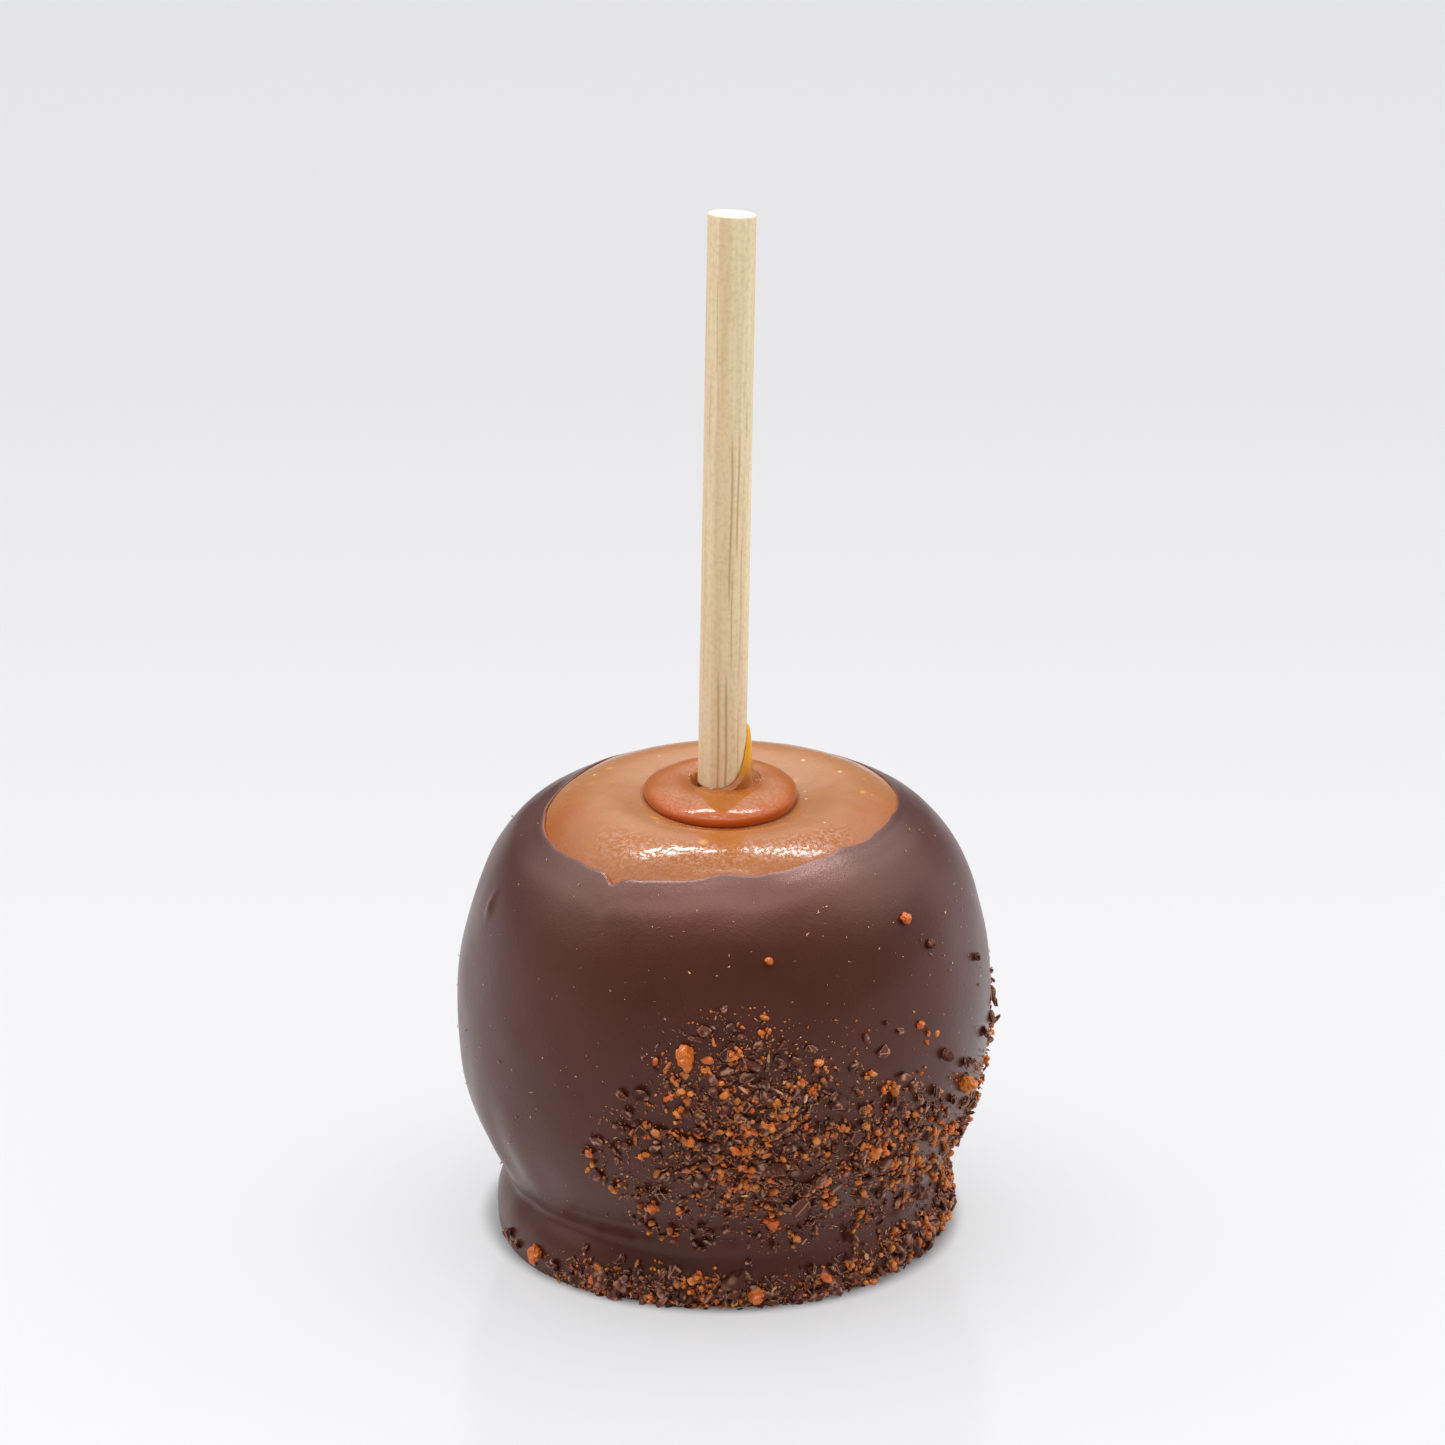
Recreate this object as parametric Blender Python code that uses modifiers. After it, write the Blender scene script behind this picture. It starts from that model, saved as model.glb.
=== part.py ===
"""Caramel apple on a wooden stick, dipped in chocolate and dusted with toffee and chocolate crumbs.

Metres, +Z up. The origin is the middle of the chocolate foot, on the surface that the apple
stands on. Azimuths are degrees from the front (-Y) towards +X. The outer shape is one
meridian curve; the chocolate, the caramel under it and the crumbs are all set off from it.
"""
import math

import bmesh
import bpy
import numpy as np
from mathutils import Matrix, Vector

# Clearance that touching pieces keep between their faces
GAP = 0.0003

# Outer shape of the coated apple: two power curves that meet at the equator, fuller at some
# heights by swells of (height, half width, size)
BODY_RADIUS = 0.0392
EQUATOR_HEIGHT = 0.0366
CROWN_RISE = 0.0321
CROWN_POWERS = (0.48, 1.14)
BASE_DROP = 0.0522
BASE_POWERS = (1.36, 0.945)
BASIN_DEPTH = 0.0055
BASIN_RADIUS = 0.013
SWELLS = ((0.022, 0.009, 0.0005), (0.060, 0.010, 0.0005))
BODY_LEAN = 0.019
LEAN_FROM_HEIGHT = 0.018

# Chocolate coat: waves are (turns, azimuth of a crest, height), bites (azimuth, half width, height)
COAT_DEPTH = 0.0017
COAT_STARTS = math.radians(10)
COAT_FULL = math.radians(40)
COAT_FLOOR = 0.0017
COAT_LEAST = 0.0005
LIP_REACH = 0.012
LIP_TURN = math.radians(60)
RIM_RADIUS = 0.0260
RIM_WAVES = ((1, -40, 0.0016), (2, -45, 0.0009))
RIM_BITES = ((-34, 3, 0.0012), (-115, 18, -0.0016), (-1, 6, -0.0007), (40, 5, -0.0004), (180, 30, 0.0045))
FOOT_BLEND_HEIGHT = 0.012
GROOVE_HEIGHT = 0.0080
FOOT_WIDEST_HEIGHT = 0.0030
FOOT_RADIUS = 0.0334
FOOT_SLOPE = 0.0021
FOOT_WAVES = ((2, -48, 0.0005), (5, -47, 0.0004))
FOOT_BITES = ((57, 12, 0.0006), (5, 30, 0.0004))
FOOT_TUCK = 0.0004
CREASE_SOFTNESS = 0.0013
CREASE_WAVES = ((1, -90, -0.0008),)

# Caramel coat with the apple inside, as one body
CARAMEL_FLOOR = COAT_FLOOR + GAP
CARAMEL_CORNER = 0.004
CARAMEL_CORNER_TUCK = 0.001
SHARED_FROM = math.radians(46)

# Stick
STICK_RADIUS = 0.0035
STICK_LENGTH = 0.140
STICK_INSERTED = 0.056
STICK_ENTRY = Vector((0.0, 0.0012, 0.0679))
STICK_LEAN = Vector((math.tan(math.radians(1.03)), math.tan(math.radians(7)), 1)).normalized()
STICK_END_CUT = math.radians(2)
STICK_EDGE_ROUND = 0.00025

# Caramel collar round the stick, drawn up it as a thin tongue on the right
COLLAR_CENTRE = Vector((0.0, 0.0004))
COLLAR_RADIUS = 0.0113
COLLAR_RISE = 0.0027
COLLAR_POWER = 4.2
COLLAR_DIP = 0.35
COLLAR_DIP_WIDTH = 0.22
COLLAR_EDGE = 0.0004
COLLAR_TUCK = 0.0006
TONGUE_HEIGHT = 0.0085
TONGUE_THICKNESS = 0.00075
TONGUE_EDGE = 0.0001
TONGUE_FLARE = ((0.75, 0.0), (0.35, 0.0002), (0.10, 0.0005))
TONGUE_AZIMUTH = 110
TONGUE_SPREAD = 32

# Crumbs that stand out: (azimuth, height in mm, size in mm)
LARGE_CRUMBS = (
    (-8, 42, 4.0), (64, 28, 3.9), (24, 33, 3.3), (34, 24, 2.7), (54, 35.5, 2.5), (53, 52, 1.8),
    (72, 46, 1.6), (47, 56.5, 1.8), (10, 55, 1.4), (46, 41.5, 1.5), (12, 14, 2.6), (4, 4.2, 4.1),
    (9, 2.2, 3.0), (-51, 2.8, 2.7), (-30, 24.5, 2.1), (-20, 32, 2.1), (58, 2.5, 3.0),
    (46, 27, 2.2), (-16, 17, 2.1), (28, 28, 3.0), (38, 31.5, 2.2), (18, 17, 3.2), (4, 41, 1.8),
)
# The rest lie by chance, thickest where these bells are: (azimuth, height, their half widths, share)
PATCH_BELLS = ((14, 0.029, 30, 0.011, 1.0), (66, 0.021, 40, 0.012, 0.45))
PATCH_EDGE = 0.08
PATCH_TOP = 0.0506
PATCH_CRUMBS = 88
# On the foot they start and stop between these azimuths, with this share of them elsewhere
FOOT_CRUMBS = 44
FOOT_CRUMBS_START = (-52, -30)
FOOT_CRUMBS_STOP = (90, 150)
FOOT_CRUMBS_ELSEWHERE = 0.1
# Sizes, spread of each corner from the mean, thickness, and how far the middle stands out, as
# shares of the size; middles keep a share of two sizes apart
CRUMB_SIZES = (0.0014, 0.0023)
CRUMB_CORNERS = (0.78, 1.14)
CRUMB_THICKNESS = 0.85
CRUMB_STANDS_OUT = 0.12
CRUMB_SPACING = 0.6
CRUMB_OFF_FLOOR = 0.0002
CRUMBED_RADIUS = 0.85 * BODY_RADIUS
CRUMB_SEED = 11

# Steps round each piece, rings down it, and points on a curve before rings are taken from it
ROUND_STEPS = 52
COLLAR_STEPS = 30
STICK_STEPS = 24
CROWN_RINGS = 13
COVERED_RINGS = 10
RIM_RINGS = 4
WALL_RINGS = 15
FOOT_RINGS = 8
EDGE_RINGS = 5
LIP_RINGS = 4
BEAD_RINGS = 8
SEAT_RINGS = 5
CURVE_POINTS = 400

FINISHES = {
    "chocolate": ((79, 45, 36), 0.32),
    "caramel": ((200, 125, 78), 0.28),
    "collar": ((197, 121, 74), 0.15),
    "wood": ((214, 190, 150), 0.6),
}


# ---------------------------------------------------------------- curves

def smooth_step(value, start, end):
    """0 before start, 1 after end, with a smooth rise between them."""
    share = np.clip((value - start) / (end - start), 0, 1)
    return share * share * (3 - 2 * share)


def turned(degrees):
    """The same angle between -180 and 180 degrees."""
    return (degrees + 180) % 360 - 180


def waves(terms, azimuth):
    """Sum of cosines round the apple."""
    return sum(size * math.cos(turns * math.radians(azimuth - crest)) for turns, crest, size in terms)


def bites(terms, azimuth):
    """Sum of bell curves round the apple."""
    return sum(size * math.exp(-(turned(azimuth - place) / width) ** 2) for place, width, size in terms)


def meridian(angle):
    """Radius and height of the outer shape at an angle down from its top pole."""
    crown = angle < math.pi / 2
    sine = np.abs(np.sin(angle))
    cosine = np.abs(np.cos(angle))
    radius = BODY_RADIUS * sine ** np.where(crown, CROWN_POWERS[0], BASE_POWERS[0])
    above = CROWN_RISE * cosine ** CROWN_POWERS[1]
    below = -BASE_DROP * cosine ** BASE_POWERS[1]
    height = EQUATOR_HEIGHT + np.where(crown, above, below)
    basin = BASIN_DEPTH * np.exp(-(radius / BASIN_RADIUS) ** 2)
    swell = sum(size * np.exp(-((height - place) / width) ** 2) for place, width, size in SWELLS)
    return radius + swell * sine, height - basin


def inset(angle, depth):
    """The meridian moved inwards along its normal."""
    step = 1e-4
    after = np.array(meridian(angle + step))
    before = np.array(meridian(np.maximum(angle - step, 1e-6)))
    run = after - before
    run /= np.hypot(run[0], run[1])
    radius, height = meridian(angle)
    return np.stack([radius + run[1] * depth, height - run[0] * depth], axis=-1)


def coat_depth(angle):
    """How far the caramel lies under the outer shape: nothing at the stick, all below the rim."""
    return COAT_DEPTH * smooth_step(angle, COAT_STARTS, COAT_FULL)


def skin_depth(angle):
    """How far the chocolate's outer face lies under the outer shape: it stands proud of it
    where the chocolate would otherwise be thinner than its least."""
    return np.minimum(coat_depth(angle) - GAP - COAT_LEAST, 0)


def angle_at_radius(radius):
    """Angle of the crown's point at this radius."""
    return math.asin((radius / BODY_RADIUS) ** (1 / CROWN_POWERS[0]))


def angle_at_height(height):
    """Angle of the lower curve's point at this height."""
    return math.pi - math.acos(((EQUATOR_HEIGHT - height) / BASE_DROP) ** (1 / BASE_POWERS[1]))


def even_points(points, count):
    """Points at equal steps along a polyline, both ends included."""
    lengths = np.hypot(*np.diff(points, axis=0).T)
    along = np.concatenate([[0], np.cumsum(lengths)])
    places = np.linspace(0, along[-1], count)
    return np.stack([np.interp(places, along, points[:, axis]) for axis in (0, 1)], axis=-1)


def outward(points, distance):
    """A polyline that runs down its outer side, moved to that side."""
    run = np.gradient(points, axis=0)
    run /= np.hypot(run[:, 0], run[:, 1])[:, None]
    return points + distance * np.stack([-run[:, 1], run[:, 0]], axis=-1)


def open_caramel(start):
    """The caramel's outer face from an angle on the crown to where the chocolate is full."""
    angles = np.linspace(start, SHARED_FROM, CURVE_POINTS)
    return inset(angles, coat_depth(angles))


def covered_caramel():
    """The caramel's outer face from there down to its flat floor, with a rounded corner."""
    low = angle_at_height(CARAMEL_FLOOR + CARAMEL_CORNER)
    angles = np.linspace(SHARED_FROM, low, CURVE_POINTS)
    wall = inset(angles, coat_depth(angles))
    turn = np.linspace(0, math.pi / 2, COVERED_RINGS)[1:]
    corner_radius = wall[-1, 0] - CARAMEL_CORNER * (1 - np.cos(turn)) - CARAMEL_CORNER_TUCK * np.sin(turn)
    corner_height = CARAMEL_FLOOR + (wall[-1, 1] - CARAMEL_FLOOR) * (1 - np.sin(turn))
    return np.concatenate([wall, np.stack([corner_radius, corner_height], axis=-1)])


def crown_height(radius):
    """Height of the open caramel at this radius."""
    angle = angle_at_radius(max(radius, 1e-5))
    return float(inset(np.array([angle]), coat_depth(angle))[0, 1])


# ---------------------------------------------------------------- half sections

def caramel_section(azimuth):
    """Half section of the caramel body: open crown, wall under the chocolate, flat floor."""
    crown = even_points(open_caramel(1e-4), CROWN_RINGS)
    crown[0, 0] = 0
    wall = even_points(covered_caramel(), COVERED_RINGS)[1:]
    return np.concatenate([crown, wall, [(0, CARAMEL_FLOOR)]])


def rim_angle(azimuth):
    """Where the chocolate's wandering edge lies on the crown."""
    return angle_at_radius(RIM_RADIUS + waves(RIM_WAVES, azimuth) + bites(RIM_BITES, azimuth))


def smooth_max(one, other, softness):
    """The larger of two values, with a rounded change from one to the other."""
    return (one + other + np.sqrt((one - other) ** 2 + softness ** 2)) / 2


def foot_curve(azimuth):
    """The wall's lowest stretch running out into the foot, and its rounded edge on the floor."""
    slope_height = np.linspace(FOOT_BLEND_HEIGHT, FOOT_WIDEST_HEIGHT, FOOT_RINGS)[1:]
    edge_height = FOOT_WIDEST_HEIGHT * (1 - np.sin(np.linspace(0, math.pi / 2, EDGE_RINGS)[1:]))
    height = np.concatenate([slope_height, edge_height])
    angles = np.linspace(math.pi / 2, math.pi * 0.9, CURVE_POINTS)
    wall = inset(angles, 0)[::-1]
    wall_radius = np.interp(height, wall[:, 1], wall[:, 0])
    widest = FOOT_RADIUS + waves(FOOT_WAVES, azimuth) + bites(FOOT_BITES, azimuth)
    above = np.maximum(height - FOOT_WIDEST_HEIGHT, 0) / (GROOVE_HEIGHT - FOOT_WIDEST_HEIGHT)
    below = np.maximum(FOOT_WIDEST_HEIGHT - height, 0) / FOOT_WIDEST_HEIGHT
    foot_radius = widest - FOOT_SLOPE * above ** 2 - FOOT_TUCK * (1 - np.sqrt(1 - below ** 2))
    softness = CREASE_SOFTNESS + waves(CREASE_WAVES, azimuth)
    return np.stack([smooth_max(wall_radius, foot_radius, softness), height], axis=-1)


def outer_wall(azimuth):
    """The chocolate's outer face from just under its rim to the floor."""
    angles = np.linspace(rim_angle(azimuth) + LIP_REACH, angle_at_height(FOOT_BLEND_HEIGHT), CURVE_POINTS)
    return np.concatenate([even_points(inset(angles, skin_depth(angles)), WALL_RINGS), foot_curve(azimuth)])


def lip(azimuth):
    """The chocolate's rounded edge on the caramel, from its inner face over to its outer."""
    rim = rim_angle(azimuth)
    turn = np.linspace(-LIP_TURN, LIP_TURN, LIP_RINGS)
    inner = coat_depth(rim) - GAP
    outer = skin_depth(rim)
    depth = (inner + outer) / 2 - (inner - outer) / 2 * np.sin(turn)
    return inset(rim - LIP_REACH * np.cos(turn), depth)


def coat_section(azimuth):
    """Half section of the chocolate: inside floor, inside wall, lip, outside wall, foot, bottom."""
    low = even_points(outward(covered_caramel(), GAP), COVERED_RINGS)[::-1]
    low[0, 1] = COAT_FLOOR
    high = even_points(outward(open_caramel(rim_angle(azimuth) + LIP_REACH), GAP), RIM_RINGS)[-2::-1]
    return np.concatenate([[(0, COAT_FLOOR)], low, high, lip(azimuth), outer_wall(azimuth), [(0, 0)]])


def bead_share(share):
    """The collar's height over its seat, of its rise, at a share of its radius: flat topped
    with a round edge, and dipping to the stick."""
    dip = COLLAR_DIP * np.exp(-((share - STICK_RADIUS / COLLAR_RADIUS) / COLLAR_DIP_WIDTH) ** 2)
    return np.sqrt(1 - share ** COLLAR_POWER) * (1 - dip)


def collar_section(azimuth):
    """Half section of the collar: the tongue that it draws up the stick, a low bead, and the
    underside, which stands clear of its seat by more towards the stick."""
    climb = TONGUE_HEIGHT * math.exp(-(turned(azimuth - TONGUE_AZIMUTH) / TONGUE_SPREAD) ** 2)
    seat = crown_height(COLLAR_RADIUS) + GAP + COLLAR_EDGE
    base = seat + COLLAR_RISE * bead_share(STICK_RADIUS / COLLAR_RADIUS)
    skin = STICK_RADIUS + TONGUE_THICKNESS
    film = [(0, base + TONGUE_HEIGHT), (STICK_RADIUS, base + climb)]
    film.append((skin - TONGUE_EDGE, base + climb - 2 * TONGUE_EDGE))
    film.extend((skin + wider, base + climb * share) for share, wider in TONGUE_FLARE)
    film_foot = math.asin((skin + TONGUE_FLARE[-1][1] + 2 * TONGUE_EDGE) / COLLAR_RADIUS)
    share = np.sin(np.linspace(film_foot, math.pi / 2, BEAD_RINGS))
    bead = np.stack([COLLAR_RADIUS * share, seat + COLLAR_RISE * bead_share(share)], axis=-1)
    under_radius = (COLLAR_RADIUS - COLLAR_TUCK) * np.linspace(1, 0, SEAT_RINGS)
    clearance = GAP * (1 + 2 * (1 - under_radius / COLLAR_RADIUS))
    under_height = [crown_height(radius) for radius in under_radius] + clearance
    return np.concatenate([film, bead, np.stack([under_radius, under_height], axis=-1)])


# ---------------------------------------------------------------- axes

def body_axis(radius, height):
    """Middle of the apple at this height: it leans a little to its right."""
    return Vector((BODY_LEAN * (height - LEAN_FROM_HEIGHT), 0))


def collar_axis(radius, height):
    """Middle of the collar: the stick's own line at the stick, the collar's centre at its edge."""
    on_stick = STICK_ENTRY + STICK_LEAN * ((height - STICK_ENTRY.z) / STICK_LEAN.z)
    return on_stick.to_2d().lerp(COLLAR_CENTRE, min(radius / COLLAR_RADIUS, 1) ** 2)


def around(axis, azimuth, radius, height):
    """The point at this azimuth, radius and height about an axis."""
    middle = axis(radius, height)
    turn = math.radians(azimuth)
    return Vector((middle.x + radius * math.sin(turn), middle.y - radius * math.cos(turn), height))


# ---------------------------------------------------------------- pieces

def material(name):
    """One plain Principled material from an sRGB colour and a roughness."""
    colour, roughness = FINISHES[name]
    made = bpy.data.materials.new(name)
    made.use_nodes = True
    shader = made.node_tree.nodes["Principled BSDF"]
    shader.inputs["Base Color"].default_value = [*((part / 255) ** 2.2 for part in colour), 1]
    shader.inputs["Roughness"].default_value = roughness
    shader.inputs["Metallic"].default_value = 0
    return made


def new_object(name, bm, collection):
    """An object from a bmesh, which is then freed."""
    mesh = bpy.data.meshes.new(name)
    bm.to_mesh(mesh)
    bm.free()
    made = bpy.data.objects.new(name, mesh)
    collection.objects.link(made)
    return made


def lofted(name, section, axis, steps, collection):
    """A closed round body. A sphere's grid gives the rings, and each vertex moves to its
    ring's point of the half section at its own azimuth, so the section may change round it."""
    bm = bmesh.new()
    rings = len(section(0)) - 1
    bmesh.ops.create_uvsphere(bm, u_segments=steps, v_segments=rings, radius=1)
    sections = {}
    for vert in bm.verts:
        azimuth = round(math.degrees(math.atan2(vert.co.x, -vert.co.y)), 3)
        if azimuth not in sections:
            sections[azimuth] = section(azimuth)
        ring = round(math.acos(max(-1, min(1, vert.co.z))) / math.pi * rings)
        vert.co = around(axis, azimuth, *sections[azimuth][ring])
    return new_object(name, bm, collection)


def rod(name, radius, start, length, collection):
    """A round rod along the stick's line. Its start is measured from where the stick enters."""
    bm = bmesh.new()
    bmesh.ops.create_cone(bm, cap_ends=True, segments=STICK_STEPS, radius1=radius, radius2=radius,
                          depth=length)
    bmesh.ops.translate(bm, verts=bm.verts, vec=(0, 0, start + length / 2))
    made = new_object(name, bm, collection)
    turn = STICK_LEAN.to_track_quat("Z", "Y").to_matrix().to_4x4()
    made.matrix_world = Matrix.Translation(STICK_ENTRY) @ turn
    return made


def cut_end(stick):
    """Saws the stick's top end a little off square and eases its edges."""
    top = STICK_LENGTH - STICK_INSERTED
    for vert in stick.data.vertices:
        if vert.co.z > top - STICK_RADIUS:
            vert.co.z -= vert.co.x * math.tan(STICK_END_CUT)
    edge = stick.modifiers.new("edge", "BEVEL")
    edge.width = STICK_EDGE_ROUND
    edge.segments = 2
    edge.limit_method = "ANGLE"
    edge.angle_limit = math.radians(60)


def drill(piece, cutter):
    """Cuts the stick's hole out of a piece."""
    hole = piece.modifiers.new("stick hole", "BOOLEAN")
    hole.operation = "DIFFERENCE"
    hole.solver = "EXACT"
    hole.object = cutter


def finish(piece, made_of, sharp_angle):
    """Gives a piece its material and smooth round faces, with its sharp edges kept."""
    piece.data.materials.clear()
    piece.data.materials.append(made_of)
    piece.data.shade_smooth()
    piece.data.set_sharp_from_angle(angle=math.radians(sharp_angle))


# ---------------------------------------------------------------- crumbs

def wall_point(azimuth, height):
    """Point on the chocolate's outer face, and the way out of it."""
    wall = outer_wall(azimuth)[::-1]
    step = 0.0008
    radii = np.interp([height - step, height, height + step], wall[:, 1], wall[:, 0])
    turn = math.radians(azimuth)
    slope = (radii[0] - radii[2]) / (2 * step)
    outwards = Vector((math.sin(turn), -math.cos(turn), slope)).normalized()
    return around(body_axis, azimuth, radii[1], height), outwards


def patch_share(azimuth, height):
    """How thickly crumbs lie on the wall, 0 to 1: a patch at the front, which runs on round
    the right side lower down."""
    bells = [share * math.exp(-((azimuth - place) / width) ** 2 - ((height - level) / depth) ** 2)
             for place, level, width, depth, share in PATCH_BELLS]
    return max(bells) if max(bells) > PATCH_EDGE else 0


def foot_share(azimuth):
    """How thickly crumbs lie on the foot, 0 to 1: thick in front and on the right."""
    dusted = smooth_step(azimuth, *FOOT_CRUMBS_START) * (1 - smooth_step(azimuth, *FOOT_CRUMBS_STOP))
    return FOOT_CRUMBS_ELSEWHERE + (1 - FOOT_CRUMBS_ELSEWHERE) * dusted


def is_clear(azimuth, height, size, places):
    """True if a crumb would stand free of those already placed."""
    for other_azimuth, other_height, other_size in places:
        across = math.radians(turned(azimuth - other_azimuth)) * CRUMBED_RADIUS
        if math.hypot(across, height - other_height) < CRUMB_SPACING * (size + other_size):
            return False
    return True


def crumb_places(random):
    """Azimuth, height and size of every crumb that is large enough for a solid of its own."""
    places = [(azimuth, height / 1000, size / 1000) for azimuth, height, size in LARGE_CRUMBS]
    patch_end = len(places) + PATCH_CRUMBS
    while len(places) < patch_end + FOOT_CRUMBS:
        size = random.uniform(*CRUMB_SIZES)
        azimuth = random.uniform(-180, 180)
        if len(places) < patch_end:
            height = random.uniform(GROOVE_HEIGHT, PATCH_TOP)
            share = patch_share(azimuth, height)
        else:
            height = random.uniform(size / 2, GROOVE_HEIGHT - size / 2)
            share = foot_share(azimuth)
        if random.uniform(0, 1) < share and is_clear(azimuth, height, size, places):
            places.append((azimuth, height, size))
    return places


def crumb(name, place, random, collection):
    """One angular crumb, partly sunk in the chocolate and clear of the floor."""
    azimuth, height, size = place
    bm = bmesh.new()
    bmesh.ops.create_icosphere(bm, subdivisions=1, radius=size / 2)
    for vert in bm.verts:
        vert.co *= random.uniform(*CRUMB_CORNERS)
    lowest = CRUMB_CORNERS[1] * size / 2 + CRUMB_OFF_FLOOR
    centre, outwards = wall_point(azimuth, max(height, lowest))
    spin = Matrix.Rotation(random.uniform(0, 2 * math.pi), 4, "Z")
    turn = outwards.to_track_quat("Z", "Y").to_matrix().to_4x4()
    flat = Matrix.Diagonal((1, 1, CRUMB_THICKNESS, 1))
    bm.transform(Matrix.Translation(centre + outwards * size * CRUMB_STANDS_OUT) @ turn @ flat @ spin)
    return new_object(name, bm, collection)


def fuse(piece, grains):
    """Joins a collection of crumbs to a piece by one union, and removes them."""
    union = piece.modifiers.new("crumbs", "BOOLEAN")
    union.operation = "UNION"
    union.operand_type = "COLLECTION"
    union.collection = grains
    union.solver = "EXACT"
    bpy.context.view_layer.update()
    evaluated = piece.evaluated_get(bpy.context.evaluated_depsgraph_get())
    joined = bpy.data.meshes.new_from_object(evaluated)
    piece.modifiers.clear()
    piece.data = joined
    for grain in list(grains.objects):
        bpy.data.objects.remove(grain)
    bpy.data.collections.remove(grains)


# ---------------------------------------------------------------- the apple

def main():
    for old in list(bpy.data.objects):
        bpy.data.objects.remove(old)
    parts = bpy.data.collections.new("caramel_apple")
    cutters = bpy.data.collections.new("cutters")
    grains = bpy.data.collections.new("grains")
    for group in (parts, cutters, grains):
        bpy.context.scene.collection.children.link(group)

    hole = rod("stick_hole", STICK_RADIUS + GAP, -STICK_INSERTED - GAP, STICK_LENGTH, cutters)
    hole.hide_render = True
    hole.display_type = "WIRE"

    stick = rod("stick", STICK_RADIUS, -STICK_INSERTED, STICK_LENGTH, parts)
    cut_end(stick)
    finish(stick, material("wood"), 40)

    caramel = lofted("caramel_coat", caramel_section, body_axis, ROUND_STEPS, parts)
    drill(caramel, hole)
    finish(caramel, material("caramel"), 50)

    collar = lofted("caramel_collar", collar_section, collar_axis, COLLAR_STEPS, parts)
    drill(collar, hole)
    finish(collar, material("collar"), 50)

    coat = lofted("chocolate_coat", coat_section, body_axis, ROUND_STEPS, parts)
    random = np.random.default_rng(CRUMB_SEED)
    for number, place in enumerate(crumb_places(random)):
        crumb(f"grain_{number}", place, random, grains)
    fuse(coat, grains)
    finish(coat, material("chocolate"), 35)


main()
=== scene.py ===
"""Looks of the caramel apple: fine surfaces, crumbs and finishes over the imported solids.

Metres, +Z up, origin at the middle of the chocolate foot. Azimuths are degrees from the front
(-Y) towards +X. Each surface is a half section carried round the apple, as whole arrays.
"""
import math

import bmesh
import bpy
import numpy as np
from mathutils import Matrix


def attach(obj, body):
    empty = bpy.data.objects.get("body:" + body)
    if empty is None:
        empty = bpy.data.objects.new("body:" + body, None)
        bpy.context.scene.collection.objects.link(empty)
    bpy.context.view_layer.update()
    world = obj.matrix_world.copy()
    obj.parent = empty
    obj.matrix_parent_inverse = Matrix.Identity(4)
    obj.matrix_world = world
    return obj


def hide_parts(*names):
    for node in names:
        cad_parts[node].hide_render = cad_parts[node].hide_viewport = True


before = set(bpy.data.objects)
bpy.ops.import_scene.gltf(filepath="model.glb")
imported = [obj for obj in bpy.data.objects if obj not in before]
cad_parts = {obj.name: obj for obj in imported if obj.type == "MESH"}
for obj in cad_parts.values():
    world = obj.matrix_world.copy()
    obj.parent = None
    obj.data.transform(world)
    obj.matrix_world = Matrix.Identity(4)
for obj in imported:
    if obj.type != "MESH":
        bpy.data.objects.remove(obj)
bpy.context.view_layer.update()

# --- Sizes that the solids have too, or nearly

BODY_RADIUS = 0.0392
EQUATOR_HEIGHT = 0.0366
CROWN_RISE = 0.0321
CROWN_POWERS = (0.48, 1.14)
BASE_DROP = 0.0522
BASE_POWERS = (1.36, 0.945)
BASIN_DEPTH = 0.0055
BASIN_RADIUS = 0.013
SWELLS = ((0.022, 0.009, 0.0005), (0.060, 0.010, 0.0005))
BODY_LEAN = 0.019
LEAN_FROM_HEIGHT = 0.018

COAT_DEPTH = 0.0017
COAT_STARTS = math.radians(10)
COAT_FULL = math.radians(40)
COAT_FLOOR = 0.0017
COAT_LEAST = 0.0005
LIP_REACH = 0.012
RIM_RADIUS = 0.0260
RIM_WAVES = ((1, -40, 0.0016), (2, -45, 0.0009))
RIM_BITES = ((-34, 3, 0.0012), (-115, 18, -0.0016), (-1, 6, -0.0007), (40, 5, -0.0004), (180, 30, 0.0045))
FOOT_BLEND_HEIGHT = 0.012
GROOVE_HEIGHT = 0.0080
FOOT_WIDEST_HEIGHT = 0.0030
FOOT_RADIUS = 0.0334
FOOT_SLOPE = 0.0021
FOOT_WAVES = ((2, -48, 0.0005), (5, -47, 0.0004))
FOOT_BITES = ((57, 12, 0.0006), (5, 30, 0.0004))
FOOT_TUCK = 0.0004
CREASE_SOFTNESS = 0.0013
CREASE_WAVES = ((1, -90, -0.0008),)

SOLIDS_GAP = 0.0003
CARAMEL_FLOOR = COAT_FLOOR + SOLIDS_GAP
CARAMEL_CORNER = 0.004

STICK_RADIUS = 0.0035
STICK_LENGTH = 0.140
STICK_INSERTED = 0.056
STICK_ENTRY = np.array([0.0, 0.0012, 0.0679])
STICK_LEAN = np.array([math.tan(math.radians(1.03)), math.tan(math.radians(7)), 1])
STICK_END_CUT = math.radians(2)
STICK_EDGE_ROUND = 0.00030

COLLAR_CENTRE = np.array([0.0, 0.0004])
COLLAR_RADIUS = 0.0113
COLLAR_RISE = 0.0025
COLLAR_DIP = 0.42
COLLAR_DIP_WIDTH = 0.22
COLLAR_EDGE = 0.0004
TONGUE_HEIGHT = 0.0085
TONGUE_THICKNESS = 0.00075
TONGUE_AZIMUTH = 110
TONGUE_SPREAD = 32

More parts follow.
